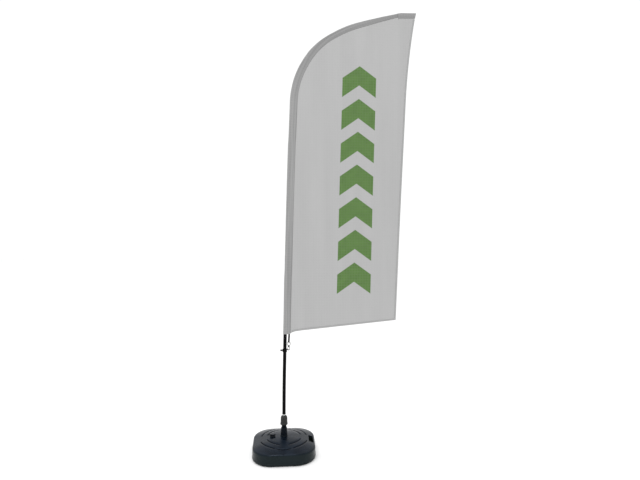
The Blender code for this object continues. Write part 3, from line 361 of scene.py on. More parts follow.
def bands(tree, value, spots, soft):
    # 1 on each (low, high) band of a value, falling to 0 over a soft edge
    found = None
    for low, high in spots:
        rise = addNode(
            tree, "ShaderNodeMapRange", {"interpolation_type": "SMOOTHSTEP"},
            {0: value, 1: low - soft, 2: low + soft, 3: 0.0, 4: 1.0},
        ).outputs[0]
        fall = addNode(
            tree, "ShaderNodeMapRange", {"interpolation_type": "SMOOTHSTEP"},
            {0: value, 1: high - soft, 2: high + soft, 3: 1.0, 4: 0.0},
        ).outputs[0]
        band = addNode(tree, "ShaderNodeMath", {"operation": "MULTIPLY"}, {0: rise, 1: fall}).outputs[0]
        found = band if found is None else addNode(
            tree, "ShaderNodeMath", {"operation": "MAXIMUM"}, {0: found, 1: band},
        ).outputs[0]
    return found


print("feather flag: materials for plastics and metals made")


# Small tools for the shapes

def skin(rings, closed=False, capped=True):
    bm = bmesh.new()
    loops = [[bm.verts.new(point) for point in ring] for ring in rings]
    pairs = list(zip(loops, loops[1:]))
    if closed:
        pairs.append((loops[-1], loops[0]))
    for low, high in pairs:
        for at in range(len(low)):
            after = (at + 1) % len(low)
            bm.faces.new((low[at], low[after], high[after], high[at]))
    if capped and not closed:
        bm.faces.new(loops[0])
        bm.faces.new(loops[-1])
    return bm


def ringAt(radius, height, count, centre=(0.0, 0.0)):
    turns = [math.tau * step / count for step in range(count)]
    return [
        Vector((centre[0] + radius * math.cos(a), centre[1] + radius * math.sin(a), height))
        for a in turns
    ]


def lathe(profile, count=64, closed=False, centre=(0.0, 0.0)):
    return skin([ringAt(radius, height, count, centre) for radius, height in profile], closed)


def splitLathe(profile, opening, count=48):
    rings = []
    for step in range(count + 1):
        a = -math.pi + opening / 2 + (math.tau - opening) * step / count
        rings.append([Vector((r * math.cos(a), r * math.sin(a), z)) for r, z in profile])
    return skin(rings)


def arcPoints(centre, radius, start, end, steps):
    turns = [start + (end - start) * step / steps for step in range(steps + 1)]
    return [(centre[0] + radius * math.cos(a), centre[1] + radius * math.sin(a)) for a in turns]


def softCorners(profile, width, steps=3):
    # Rounds each corner of a closed (radius, height) profile, by up to a third of its shorter side
    rounded = []
    for at, here in enumerate(profile):
        here = Vector(here)
        before = Vector(profile[at - 1])
        after = Vector(profile[(at + 1) % len(profile)])
        reach = min(width, (before - here).length / 3, (after - here).length / 3)
        start = here + (before - here).normalized() * reach
        end = here + (after - here).normalized() * reach
        for step in range(steps + 1):
            share = step / steps
            rounded.append(
                tuple(start * (1 - share) ** 2 + here * 2 * share * (1 - share) + end * share ** 2)
            )
    return rounded


def plate(low, high, width, segments=3):
    bm = bmesh.new()
    bmesh.ops.create_cube(bm, size=1.0)
    middle = (Vector(low) + Vector(high)) / 2
    size = Vector(high) - Vector(low)
    for vert in bm.verts:
        vert.co = Vector(a * b for a, b in zip(vert.co, size)) + middle
    bmesh.ops.bevel(bm, geom=list(bm.edges), offset=width, segments=segments, affect="EDGES", profile=0.5)
    return bm


def prism(outline, direction, width=0.0, segments=3):
    bm = skin([[Vector(p) for p in outline], [Vector(p) + Vector(direction) for p in outline]])
    if width:
        sharp = [e for e in bm.edges if e.calc_face_angle(0.0) > math.radians(35)]
        bmesh.ops.bevel(bm, geom=sharp, offset=width, segments=segments, affect="EDGES", profile=0.5)
    return bm


def joined(parts):
    whole = bmesh.new()
    for part in parts:
        carrier = bpy.data.meshes.new("carrier")
        part.to_mesh(carrier)
        part.free()
        whole.from_mesh(carrier)
        bpy.data.meshes.remove(carrier)
    return whole


def sweep(points, radius, count=16, closed=False):
    rings = []
    for at, point in enumerate(points):
        if closed:
            before, after = points[at - 1], points[(at + 1) % len(points)]
        else:
            before, after = points[max(at - 1, 0)], points[min(at + 1, len(points) - 1)]
        along = (Vector(after) - Vector(before)).normalized()
        across = Vector((along.z, 0.0, -along.x))
        rings.append([
            Vector(point) + across * radius * math.cos(math.tau * k / count)
            + Vector((0.0, 1.0, 0.0)) * radius * math.sin(math.tau * k / count)
            for k in range(count)
        ])
    return skin(rings, closed)


def makePiece(name, bm, material, matrix=None, crease=35):
    bmesh.ops.recalc_face_normals(bm, faces=bm.faces)
    mesh = bpy.data.meshes.new(name)
    bm.to_mesh(mesh)
    bm.free()
    if matrix is not None:
        mesh.transform(matrix)
    mesh.shade_smooth()
    mesh.set_sharp_from_angle(angle=math.radians(crease))
    piece = bpy.data.objects.new(name, mesh)
    scene.collection.objects.link(piece)
    mesh.materials.append(material)
    return piece


def fit(piece, body, slotName, *nodes):
    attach(piece, body)
    if nodes:
        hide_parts(*nodes)
    return piece


def carve(piece, *cutters):
    # Takes the cutters out of a piece, and leaves a plain mesh
    for shape in cutters:
        bmesh.ops.recalc_face_normals(shape, faces=shape.faces)
        mesh = bpy.data.meshes.new("cutter")
        shape.to_mesh(mesh)
        shape.free()
        cutter = bpy.data.objects.new("cutter", mesh)
        scene.collection.objects.link(cutter)
        cut = piece.modifiers.new("cut", "BOOLEAN")
        cut.operation = "DIFFERENCE"
        cut.solver = "EXACT"
        cut.object = cutter
        bpy.context.view_layer.update()
        result = bpy.data.meshes.new_from_object(piece.evaluated_get(bpy.context.evaluated_depsgraph_get()))
        piece.modifiers.clear()
        piece.data = result
        bpy.data.objects.remove(cutter, do_unlink=True)


# The water tank

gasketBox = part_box("cap_gasket")
tank = {
    "half": 0.215, "corner": 0.140, "side": 0.0775, "crown": 0.1135,
    "footRadius": 0.010, "rimRadius": 0.012, "seamHeight": 0.017, "seamReach": 0.0015,
    "grooveWidth": 0.011, "grooveDepth": 0.004,
    "outerGroove": 0.163, "outerArcs": ((0.0, 15.0), (24.0, 72.0)),
    "innerGroove": 0.119, "innerArcs": ((16.0, 72.0),),
    "sides": 240,
    "bossRadius": 0.0185, "bossTop": gasketBox[0][2] - 0.0003, "fillerX": -0.080, "fillerBore": 0.0125,
    "wellRadius": 0.0195, "wellFloor": 0.012,
    "gripLeft": 0.172, "gripRight": 0.203, "gripHalf": 0.050, "gripFloor": 0.0355, "gripStep": 0.0615,
    "tongueRight": 0.190, "tongueHalf": 0.022,
}


def squareReach(angle, inset):
    corner = max(tank["corner"] - inset, 0.001)
    core = tank["half"] - inset - corner
    a, b = sorted((abs(math.cos(angle)), abs(math.sin(angle))), reverse=True)
    half = core + corner
    if half * b / a <= core:
        return half / a
    along = core * (a + b)
    return along + math.sqrt(along ** 2 - 2 * core ** 2 + corner ** 2)


def domeHeight(reach, angle):
    share = reach / squareReach(angle, tank["rimRadius"])
    return tank["crown"] - (tank["crown"] - tank["side"]) * share ** 2


def grooveWindow(angle, arcs):
    fromMiddle = math.degrees(abs(math.asin(math.cos(angle))))
    inside = max(min(fromMiddle - low, high - fromMiddle) / 4.0 + 1 for low, high in arcs)
    inside = max(0.0, min(1.0, inside))
    return inside * inside * (3 - 2 * inside)


def tankSkin():
    turns = [math.tau * step / tank["sides"] for step in range(tank["sides"])]

    def outline(inset, height):
        return [
            Vector((squareReach(a, inset) * math.cos(a), squareReach(a, inset) * math.sin(a), height))
            for a in turns
        ]

    rings = []
    foot = tank["footRadius"]
    for x, z in arcPoints((0.0, foot), foot, -math.pi / 2, 0.0, 8):
        rings.append(outline(foot - x, z))
    for rise, reach in ((-0.0022, 0.0), (-0.0012, 0.75), (0.0, 1.0), (0.0012, 0.75), (0.0022, 0.0)):
        rings.append(outline(-tank["seamReach"] * reach, tank["seamHeight"] + rise))
    rim = tank["rimRadius"]
    rimFoot = tank["side"] - rim
    for share in (0.25, 0.5, 0.75):
        rings.append(outline(0.0, tank["seamHeight"] + (rimFoot - tank["seamHeight"]) * share))
    for x, z in arcPoints((0.0, rimFoot), rim, 0.0, math.radians(78), 10):
        rings.append(outline(rim - x, z))
    half = tank["grooveWidth"] / 2
    outer = tank["outerGroove"] + half
    for step in range(1, 8):
        ring = []
        for a in turns:
            edge = squareReach(a, rim - rim * math.cos(math.radians(78)))
            reach = edge + (outer - edge) * step / 8
            ring.append(Vector((reach * math.cos(a), reach * math.sin(a), domeHeight(reach, a))))
        rings.append(ring)

    def domeRing(reach, sink=0.0, arcs=()):
        ring = []
        for a in turns:
            depth = sink * (grooveWindow(a, arcs) if arcs else 1.0)
            ring.append(Vector((reach * math.cos(a), reach * math.sin(a), domeHeight(reach, a) - depth)))
        return ring

    for middle, arcs, inner in (
        (tank["outerGroove"], tank["outerArcs"], tank["innerGroove"] + half),
        (tank["innerGroove"], tank["innerArcs"], 0.0292),
    ):
        for step in range(9):
            off = 1 - step / 4
            sink = tank["grooveDepth"] * (0.5 + 0.5 * math.cos(math.pi * off)) ** 0.8
            rings.append(domeRing(middle + off * half, sink, arcs))
        start = middle - half
        for share in (0.2, 0.4, 0.6, 0.8):
            rings.append(domeRing(start + (inner - start) * share))
    rings.append(domeRing(0.0292))
    return skin(rings)


tankShell = makePiece("waterTank", tankSkin(), tankPlastic)
top = tank["crown"] + 0.02
shallow = plate(
    (tank["gripLeft"], -tank["gripHalf"], tank["gripStep"]), (tank["gripRight"], tank["gripHalf"], top),
    0.005, 4,
)
deepOutline = [
    (tank["gripLeft"], -tank["gripHalf"]), (tank["gripRight"], -tank["gripHalf"]),
    (tank["gripRight"], tank["gripHalf"]), (tank["gripLeft"], tank["gripHalf"]),
    (tank["gripLeft"], tank["tongueHalf"]), (tank["tongueRight"], tank["tongueHalf"]),
    (tank["tongueRight"], -tank["tongueHalf"]), (tank["gripLeft"], -tank["tongueHalf"]),
]
deepRise = tank["gripStep"] + 0.004 - tank["gripFloor"]
deep = prism([(x, y, tank["gripFloor"]) for x, y in deepOutline], (0, 0, deepRise), 0.0035, 3)
well = lathe([(tank["wellRadius"], tank["wellFloor"]), (tank["wellRadius"], top)], 64)
fillerHole = lathe([(tank["fillerBore"], 0.08), (tank["fillerBore"], top)], 48, centre=(tank["fillerX"], 0.0))
carve(tankShell, shallow, deep, well, fillerHole)
tankShell.data.set_sharp_from_angle(angle=math.radians(38))
# how deep each spot lies in a groove, 0 to 1
sunk = tankShell.data.attributes.new("hollow", "FLOAT", "POINT")
for vert, depth in zip(tankShell.data.vertices, sunk.data):
    reach, angle = math.hypot(vert.co.x, vert.co.y), math.atan2(vert.co.y, vert.co.x)
    fromGroove = min(abs(reach - tank["outerGroove"]), abs(reach - tank["innerGroove"]))
    if fromGroove < tank["grooveWidth"] / 2 and vert.co.z > tank["side"] - tank["rimRadius"]:
        depth.value = max(0.0, min(1.0, (domeHeight(reach, angle) - vert.co.z) / tank["grooveDepth"]))
fit(tankShell, "base", "tank_plastic", "tank_body")

bossRing = [
    (tank["bossRadius"] + 0.0014, tank["bossTop"] - 0.0060), (tank["bossRadius"], tank["bossTop"] - 0.0030),
    (tank["bossRadius"], tank["bossTop"] - 0.001), (tank["bossRadius"] - 0.001, tank["bossTop"]),
    (tank["fillerBore"], tank["bossTop"]), (tank["fillerBore"], tank["bossTop"] - 0.02),
    (tank["bossRadius"] - 0.002, tank["bossTop"] - 0.02),
]
fillerBoss = makePiece("fillerBoss", lathe(bossRing, 64, True, (tank["fillerX"], 0.0)), tankPlastic)
fit(fillerBoss, "base", "tank_plastic")
print("feather flag: water tank made")


# The filler's cap and gasket

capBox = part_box("filler_cap")
cap = {
    "flangeRadius": 0.0195, "flange": gasketBox[1][2] + 0.0003, "rise": 0.004, "plug": 0.0120,
    "wingThick": 0.005, "wingHalf": 0.023,
}
capTop = cap["flange"] + cap["rise"]
capBody = [
    (0.0090, capTop - 0.0128), (cap["plug"] - 0.001, cap["flange"] - 0.0100),
    (cap["plug"], cap["flange"] - 0.0090), (cap["plug"], cap["flange"]),
    (cap["flangeRadius"] - 0.0006, cap["flange"]), (cap["flangeRadius"], cap["flange"] + 0.0006),
    (cap["flangeRadius"], capTop - 0.0012), (cap["flangeRadius"] - 0.0003, capTop - 0.0004),
    (cap["flangeRadius"] - 0.0012, capTop), (cap["flangeRadius"] - 0.0040, capTop),
    (cap["flangeRadius"] - 0.0050, capTop - 0.0008), (0.004, capTop - 0.0008),
]
wingTop = capBox[1][2]
wingRise = wingTop - capTop
foot = cap["wingHalf"] * 0.55
wingSide = [
    (-foot, capTop - 0.002), (foot, capTop - 0.002), (foot, capTop + 0.001),
    (cap["wingHalf"] * 0.9, capTop + wingRise * 0.40), (cap["wingHalf"], capTop + wingRise * 0.58),
    (cap["wingHalf"], capTop + wingRise * 0.86), (cap["wingHalf"] * 0.93, wingTop), (foot * 0.85, wingTop),
    (foot * 0.4, capTop + wingRise * 0.68), (0, capTop + wingRise * 0.56),
    (-foot * 0.4, capTop + wingRise * 0.68), (-foot * 0.85, wingTop), (-cap["wingHalf"] * 0.93, wingTop),
    (-cap["wingHalf"], capTop + wingRise * 0.86), (-cap["wingHalf"], capTop + wingRise * 0.58),
    (-cap["wingHalf"] * 0.9, capTop + wingRise * 0.40), (-foot, capTop + 0.001),
]
wings = prism([(x, -cap["wingThick"] / 2, z) for x, z in wingSide], (0, cap["wingThick"], 0), 0.0011, 3)
capMatrix = Matrix.Translation((tank["fillerX"], 0.0, 0.0))
fillerCap = makePiece("fillerCap", joined([lathe(capBody, 72), wings]), neckPlastic, capMatrix, 30)
fit(fillerCap, "cap", "dark_plastic", "filler_cap")
gasketProfile = softCorners(
    [
        (0.0128, gasketBox[0][2]), (0.0175, gasketBox[0][2]), (0.0175, gasketBox[1][2]),
        (0.0128, gasketBox[1][2]),
    ],
    0.0005,
)
capGasket = makePiece("capGasket", lathe(gasketProfile, 64, True), blackRubber, capMatrix)
fit(capGasket, "gasket", "gasket_rubber", "cap_gasket")


# The stand: neck with its thread, collet and knurled nut

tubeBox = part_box("stand_tube")
neck = {
    "bore": 0.0125, "spigot": 0.0190, "foot": 0.0232, "neck": 0.0212, "flange": 0.1138, "shoulder": 0.1714,
    "crest": 0.0165, "root": 0.0151, "pitch": 0.0040, "top": tubeBox[1][2], "sides": 96,
}


def threadReach(turn, height):
    share = (height / neck["pitch"] - turn / math.tau) % 1.0
    ridge = max(0.0, min(1.0, 2.2 - 5.2 * abs(share - 0.5)))
    start = min(1.0, max(0.0, (height - neck["shoulder"] - 0.0015) / 0.002))
    end = min(1.0, max(0.0, (neck["top"] - 0.0015 - height) / 0.002))
    return neck["root"] + (neck["crest"] - neck["root"]) * ridge * start * end


def neckSkin():
    count = neck["sides"]
    rings = [ringAt(r, z, count) for r, z in (
        (neck["bore"], tubeBox[0][2]), (neck["spigot"], tubeBox[0][2]), (neck["spigot"], neck["flange"]),
        (neck["foot"] + 0.0023, neck["flange"]), (neck["foot"] + 0.0028, neck["flange"] + 0.0005),
        (neck["foot"] + 0.0028, neck["flange"] + 0.0020), (neck["foot"] + 0.0023, neck["flange"] + 0.0026),
    )]
    for step in range(1, 7):
        share = step / 6
        rings.append(
            ringAt(
                neck["foot"] + 0.0020 * (1 - share) ** 2, neck["flange"] + 0.0026 + 0.0044 * share, count,
            )
        )
    for step in range(1, 9):
        share = step / 8
        rings.append(
            ringAt(neck["foot"] + (neck["neck"] - neck["foot"]) * share, 0.1208 + 0.0482 * share, count)
        )
    rings += [ringAt(r, z, count) for r, z in (
        (neck["neck"] - 0.0004, 0.1702), (neck["neck"] - 0.0012, 0.1710), (neck["neck"] - 0.0022, neck["shoulder"]),
        (neck["root"] + 0.0004, neck["shoulder"]),
    )]
    steps = 150
    for step in range(1, steps):
        height = neck["shoulder"] + (neck["top"] - neck["shoulder"]) * step / steps
        ring = []
        for k in range(count):
            a = math.tau * k / count
            reach = threadReach(a, height)
            ring.append(Vector((reach * math.cos(a), reach * math.sin(a), height)))
        rings.append(ring)
    rings.append(ringAt(neck["root"] - 0.0006, neck["top"], count))
    rings.append(ringAt(neck["bore"], neck["top"], count))
    return skin(rings, closed=True)


standNeck = makePiece("standNeck", neckSkin(), neckPlastic, None, 50)
fit(standNeck, "base", "dark_plastic", "stand_tube")

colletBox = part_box("collet")
colletProfile = [
    (0.0083, colletBox[0][2]), (0.0122, colletBox[0][2]), (0.0122, neck["top"] + 0.0003),
    (0.0155, neck["top"] + 0.0003), (0.0125, colletBox[1][2]), (0.0083, colletBox[1][2]),
]
colletRing = makePiece("colletRing", splitLathe(colletProfile, math.radians(14)), greyNylon)
fit(colletRing, "collet", "grey_nylon", "collet")

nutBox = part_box("clamp_nut")
nut = {
    "flange": 0.0262, "radius": 0.0245, "bore": 0.0170, "eye": 0.0095, "knurls": 22, "knurlDepth": 0.0011,
    "sides": 176,
}


def knurl(turn, height):
    # Two crossed sets of grooves that leave pointed diamonds about 7 mm across
    around = turn * nut["knurls"] / math.tau
    climb = height / 0.0105
    ups = abs(2 * ((around + climb) % 1.0) - 1)
    downs = abs(2 * ((around - climb) % 1.0) - 1)
    return (1 - min(1.0, 1.5 * min(ups, downs))) ** 1.2


def nutSkin():
    low, high = nutBox[0][2], nutBox[1][2]
    count = nut["sides"]
    rings = [ringAt(r, z, count) for r, z in (
        (nut["bore"], low), (nut["flange"] - 0.0012, low), (nut["flange"] - 0.0004, low + 0.0004),
        (nut["flange"], low + 0.0012), (nut["flange"], low + 0.0080), (nut["flange"] - 0.0003, low + 0.0090),
        (nut["flange"] - 0.0012, low + 0.0098), (nut["radius"], low + 0.0102),
    )]
    dome = high - 0.0145
    steps = 34
    for step in range(steps + 1):
        height = low + 0.0106 + (dome - low - 0.0106) * step / steps
        ease = min(1.0, step / 3)
        reach = nut["radius"] - 0.001 * step / steps
        ring = []
        for k in range(count):
            a = math.tau * k / count
            r = reach - nut["knurlDepth"] * knurl(a, height - low) * ease
            ring.append(Vector((r * math.cos(a), r * math.sin(a), height)))
        rings.append(ring)
    for step in range(1, 15):
        a0 = math.radians(78) * step / 14
        reach = nut["radius"] - 0.001 - 0.0145 + 0.0145 * math.cos(a0)
        height = dome + 0.0145 * math.sin(a0) * 0.985
        ease = max(0.0, 1 - step / 11)
        ring = []
        for k in range(count):
            a = math.tau * k / count
            r = reach - nut["knurlDepth"] * knurl(a, height - low) * ease
            ring.append(Vector((r * math.cos(a), r * math.sin(a), height)))
        rings.append(ring)
    roof = neck["top"] + 0.0076
    rings += [ringAt(r, z, count) for r, z in (
        (nut["eye"] + 0.0006, high), (nut["eye"], high - 0.0006), (nut["eye"], roof), (0.0128, roof),
        (nut["bore"], neck["top"] + 0.0003),
    )]
    return skin(rings, closed=True)


clampNut = makePiece("clampNut", nutSkin(), nutNylon, None, 60)
fit(clampNut, "nut", "black_nylon", "clamp_nut")


# The spindle that the pole turns on

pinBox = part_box("spindle_pin")
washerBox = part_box("thrust_washer")
flangeTop = washerBox[0][2] - 0.0003
flangeLow = flangeTop - 0.0030
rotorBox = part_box("rotor_tube")
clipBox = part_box("retaining_clip")
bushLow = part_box("bush_lower")
axle = (bushLow[1][0] - bushLow[0][0]) / 2 - 0.0015 - 0.0003
pinProfile = [
    (0.0040, pinBox[0][2]), (0.0070, pinBox[0][2]), (0.0080, pinBox[0][2] + 0.001), (0.0080, flangeLow),
    (0.0112, flangeLow), (0.0116, flangeLow + 0.0002), (0.0118, flangeLow + 0.0006),
    (0.0118, flangeTop - 0.0006), (0.0116, flangeTop - 0.0002), (0.0112, flangeTop), (axle, flangeTop),
    (axle, clipBox[0][2] - 0.0003), (axle - 0.0012, clipBox[0][2] - 0.0003),
    (axle - 0.0012, clipBox[1][2] + 0.0003), (axle, clipBox[1][2] + 0.0003), (axle, pinBox[1][2] - 0.002),
    (axle - 0.0006, pinBox[1][2] - 0.0008), (axle - 0.002, pinBox[1][2]),
]
spindlePin = makePiece("spindlePin", lathe(pinProfile, 72), turnedSteel)
fit(spindlePin, "base", "bright_steel", "spindle_pin")
washerProfile = softCorners(
    [
        (axle + 0.0003, washerBox[0][2]), (0.0118, washerBox[0][2]), (0.0118, washerBox[1][2]),
        (axle + 0.0003, washerBox[1][2]),
    ],
    0.0004,
)
thrustWasher = makePiece("thrustWasher", lathe(washerProfile, 72, True), whiteAcetal)
fit(thrustWasher, "base", "white_nylon", "thrust_washer")
clipOuter = (clipBox[1][1] - clipBox[0][1]) / 2
clipProfile = softCorners(
    [
        (axle - 0.0009, clipBox[0][2]), (clipOuter, clipBox[0][2]), (clipOuter, clipBox[1][2]),
        (axle - 0.0009, clipBox[1][2]),
    ],
    0.0003,
)
retainingClip = makePiece("retainingClip", splitLathe(clipProfile, math.radians(80)), springSteel)
fit(retainingClip, "base", "spring_steel", "retaining_clip")

rotorRadius = 0.0088
rotorBore = rotorRadius - 0.0015
rotorFlange = (rotorBox[1][0] - rotorBox[0][0]) / 2
rotorSeat = rotorBox[0][2] + 0.0028
rotorProfile = [
    (rotorBore, rotorBox[0][2]), (rotorFlange - 0.0005, rotorBox[0][2]),
    (rotorFlange, rotorBox[0][2] + 0.0005), (rotorFlange, rotorSeat - 0.0005),
    (rotorFlange - 0.0005, rotorSeat), (rotorRadius, rotorSeat), (rotorRadius, rotorBox[1][2] - 0.002),
    (rotorRadius - 0.0008, rotorBox[1][2]), (rotorBore, rotorBox[1][2]),
]
rotorTube = makePiece("rotorTube", lathe(rotorProfile, 72, True), blackNylon)
fit(rotorTube, "rotor", "black_nylon", "rotor_tube")
for node in ("bush_lower", "bush_upper"):
    low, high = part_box(node)
    outer = (high[0] - low[0]) / 2
    bushProfile = softCorners(
        [(outer - 0.0015, low[2]), (outer, low[2]), (outer, high[2]), (outer - 0.0015, high[2])], 0.0004,
    )
    bush = makePiece(node.replace("_", "-") + "-bearing", lathe(bushProfile, 64, True), whiteAcetal)
    fit(bush, "rotor", "white_nylon", node)
print("feather flag: neck, nut and spindle made")


# The pole: a chain of arcs that leans, then bends over towards the flag

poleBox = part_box("pole_lower")
pole = {
    "start": poleBox[0][2], "end": 3.35,
    "runs": (
        (0.30, 1.1), (0.65, 0.0), (1.23, 1.0), (0.38, 37.0), (0.17, 18.5), (0.27, 16.5), (0.25, 2.5),
        (0.06, 12.0), (0.04, 0.0), (1.0, 0.0),
    ),
    "lower": 0.0120, "middle": 0.0102, "upper": 0.0084, "tip": 0.0035, "lowerEnd": 0.93,
    "middleStart": 0.83, "middleEnd": 1.86, "upperStart": 1.76, "taperFrom": 1.90, "ring": 0.012,
    "sides": 48,
}


def poleAt(distance):
    x, z, lean = 0.0, pole["start"], 0.0
    for length, degrees in pole["runs"]:
        run = min(distance, length)
        if degrees:
            radius = length / math.radians(degrees)
            after = lean + run / radius
            x += radius * (math.cos(lean) - math.cos(after))
            z += radius * (math.sin(after) - math.sin(lean))
            lean = after
        else:
            x += run * math.sin(lean)
            z += run * math.cos(lean)
        distance -= run
        if distance <= 0.0:
            break
    along = Vector((math.sin(lean), 0.0, math.cos(lean)))
    across = Vector((math.cos(lean), 0.0, -math.sin(lean)))
    return Vector((x, 0.0, z)), along, across, lean


def stepsAlong(start, end, pitch=0.012):
    count = max(1, math.ceil((end - start) / pitch))
    return [start + (end - start) * step / count for step in range(count + 1)]


def poleRing(distance, radius):
    point, along, across, lean = poleAt(distance)
    turns = [math.tau * k / pole["sides"] for k in range(pole["sides"])]
    return [point + across * radius * math.cos(a) + Vector((0.0, radius * math.sin(a), 0.0)) for a in turns]


def bentTube(start, end, outer, inner, pitch=0.025):
    # Outside up, bore down, with the tube's end edges broken by 0.3 mm
    soften = 0.0003
    rings = [poleRing(start, outer - soften), poleRing(start + soften, outer)]
    rings += [poleRing(s, outer) for s in stepsAlong(start, end, pitch)[1:-1]]
    rings += [poleRing(end - soften, outer), poleRing(end, outer - soften)]
    rings += [poleRing(s, inner) for s in reversed(stepsAlong(start, end, pitch))]
    return skin(rings, closed=True)


def upperRadius(distance):
    share = max(0.0, distance - pole["taperFrom"]) / (pole["end"] - pole["taperFrom"])
    return pole["upper"] + (pole["tip"] - pole["upper"]) * share


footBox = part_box("pole_foot")
footTop = footBox[1][2]
footProfile = [
    (0.0094, footBox[0][2]), (0.0117, footBox[0][2]), (0.0124, footBox[0][2] + 0.0006),
    (0.0126, footBox[0][2] + 0.0012), (0.0122, footBox[0][2] + 0.0042), (0.0102, footBox[0][2] + 0.0042),
    (0.0102, footTop), (0.0094, footTop),
]
poleFoot = makePiece("poleFoot", lathe(footProfile, 72, True), blackNylon)
fit(poleFoot, "pole", "black_nylon", "pole_foot")

lowerTube = makePiece("poleLower", bentTube(0.0, pole["lowerEnd"], pole["lower"], 0.0105), anodisedTube)
fit(lowerTube, "pole", "anodised_tube", "pole_lower")
middleTube = makePiece(
    "poleMiddle", bentTube(pole["middleStart"], pole["middleEnd"], pole["middle"], 0.0087), anodisedTube,
)
fit(middleTube, "pole", "anodised_tube", "pole_middle")
for name, node, base, outer, inner in (
    ("stopRingLower", "stop_ring_lower", pole["lowerEnd"], pole["lower"], pole["middle"] + 0.0003),
    ("stopRingUpper", "stop_ring_upper", pole["middleEnd"], pole["middle"], pole["upper"] + 0.0003),
):
    ring = makePiece(
        name, bentTube(base + 0.0003, base + 0.0003 + pole["ring"], outer, inner, 0.004), blackNylon,
    )
    fit(ring, "pole", "black_nylon", node)
rodRings = [poleRing(s, upperRadius(s)) for s in stepsAlong(pole["upperStart"], pole["end"], 0.012)]
upperRod = makePiece("poleUpper", skin(rodRings), glassFibre)
fit(upperRod, "pole", "glass_fibre", "pole_upper")
tipPoint, tipAlong, tipAcross, tipLean = poleAt(pole["end"])
tipMatrix = Matrix.Translation(tipPoint) @ Matrix.Rotation(tipLean, 4, "Y")
tipProfile = [
    (0.0020, 0.0051), (0.0036, 0.0044), (0.0046, 0.0030), (0.0051, 0.0009), (0.0051, -0.0112),
    (0.0048, -0.0119), (0.0039, -0.0119), (0.0039, 0.0003),
]
tipCap = makePiece("poleTipCap", lathe(tipProfile, 48), blackRubber, tipMatrix)
fit(tipCap, "pole", "gasket_rubber", "pole_tip_cap")
print("feather flag: pole made")


# The tension collar, its clamp screw, and the snap hook with its swivel eye

collarPoint, collarAlong, collarAcross, collarLean = poleAt(0.4375)
collarMatrix = Matrix.Translation(collarPoint) @ Matrix.Rotation(collarLean, 4, "Y")
collar = {
    "bore": 0.0125, "radius": 0.0160, "half": 0.010, "lugTop": 0.008, "lugThick": 0.0035, "lugHalf": 0.0062,
    "holeAt": 0.0205, "hole": 0.0028, "lugReach": 0.0280, "boss": 0.0058, "screw": 0.0025, "knobAt": 0.0252,
    "knob": 0.0068,
}
collarProfile = softCorners([
    (collar["bore"], -collar["half"]), (collar["radius"], -collar["half"]),
    (collar["radius"], -0.0022), (collar["radius"] - 0.0005, -0.0018), (collar["radius"] - 0.0005, 0.0018),
    (collar["radius"], 0.0022), (collar["radius"], collar["half"]), (collar["bore"], collar["half"]),
], 0.0009)
lugTip = collar["lugReach"] - collar["lugHalf"]
lugLow = collar["lugTop"] - collar["lugThick"]


def lugSkin():
    # A flat eye: an outer outline and a round hole with the same number of points, joined over and under
    count = 48
    outline, hole = [], []
    for k in range(count):
        a = math.tau * k / count
        x, y = math.cos(a), math.sin(a)
        if x >= 0:
            outline.append((lugTip + collar["lugHalf"] * x, collar["lugHalf"] * y))
        else:
            outline.append(
                (
                    lugTip + (lugTip - collar["bore"] - 0.0014) * x,
                    collar["lugHalf"] * (1 if y > 0 else -1) * min(1.0, abs(y) * 1.25),
                )
            )
        hole.append((collar["holeAt"] + collar["hole"] * x, collar["hole"] * y))
    soft = 0.0006
    rings = []
    top = collar["lugTop"]
    for grow, z in ((-soft, lugLow), (0.0, lugLow + soft), (0.0, top - soft), (-soft, top)):
        rings.append([
            Vector((x + grow * (1 if x > lugTip else 0), y * (1 + grow / collar["lugHalf"]), z))
            for x, y in outline
        ])
    for grow, z in ((soft, top), (0.0, top - soft), (0.0, lugLow + soft), (soft, lugLow)):
        share = 1 + grow / collar["hole"]
        rings.append([
            Vector((collar["holeAt"] + (x - collar["holeAt"]) * share, y * share, z)) for x, y in hole
        ])
    return skin(rings, closed=True)


outwards = Matrix.Rotation(-math.pi / 2, 4, "Y")
screwBoss = lathe(
    [
        (collar["boss"], collar["bore"] + 0.0012), (collar["boss"], collar["radius"] + 0.0013),
        (collar["boss"] - 0.0003, collar["radius"] + 0.0018),
        (collar["boss"] - 0.0009, collar["radius"] + 0.0020),
        (collar["screw"] + 0.0003, collar["radius"] + 0.0020),
        (collar["screw"] + 0.0003, collar["bore"] + 0.0012),
    ],
    48, True,
)
bmesh.ops.transform(screwBoss, matrix=outwards, verts=screwBoss.verts)
tensionCollar = makePiece(
    "tensionCollar", joined([lathe(collarProfile, 96, True), lugSkin(), screwBoss]), blackNylon,
    collarMatrix,
)
fit(tensionCollar, "collar", "black_nylon", "tension_collar")

screwMatrix = collarMatrix @ outwards
screwHead = collar["knobAt"] + collar["knob"] * 0.35
screwProfile = [(collar["screw"] - 0.0006, pole["lower"] + 0.0003), (collar["screw"], pole["lower"] + 0.0009)]
at = pole["lower"] + 0.0014
while at < screwHead - 0.0008:  # thread ridges 0.8 mm apart
    screwProfile += [(collar["screw"], at), (collar["screw"] - 0.0003, at + 0.0004)]
    at += 0.0008
screwProfile.append((collar["screw"], screwHead))
clampScrew = makePiece("clampScrew", lathe(screwProfile, 32), chromatedZinc, screwMatrix)
fit(clampScrew, "screw", "zinc", "clamp_screw")
hollow = collar["screw"] + 0.0003
opening = math.asin(hollow / collar["knob"])
ball = [(hollow, screwHead + 0.0003)]
for step in range(25):
    a = opening + (math.radians(176) - opening) * step / 24
    seam = 0.00012 if 11 <= step <= 12 else 0.0  # moulding line round the ball
    ball.append(
        ((collar["knob"] + seam) * math.sin(a), collar["knobAt"] - (collar["knob"] + seam) * math.cos(a))
    )
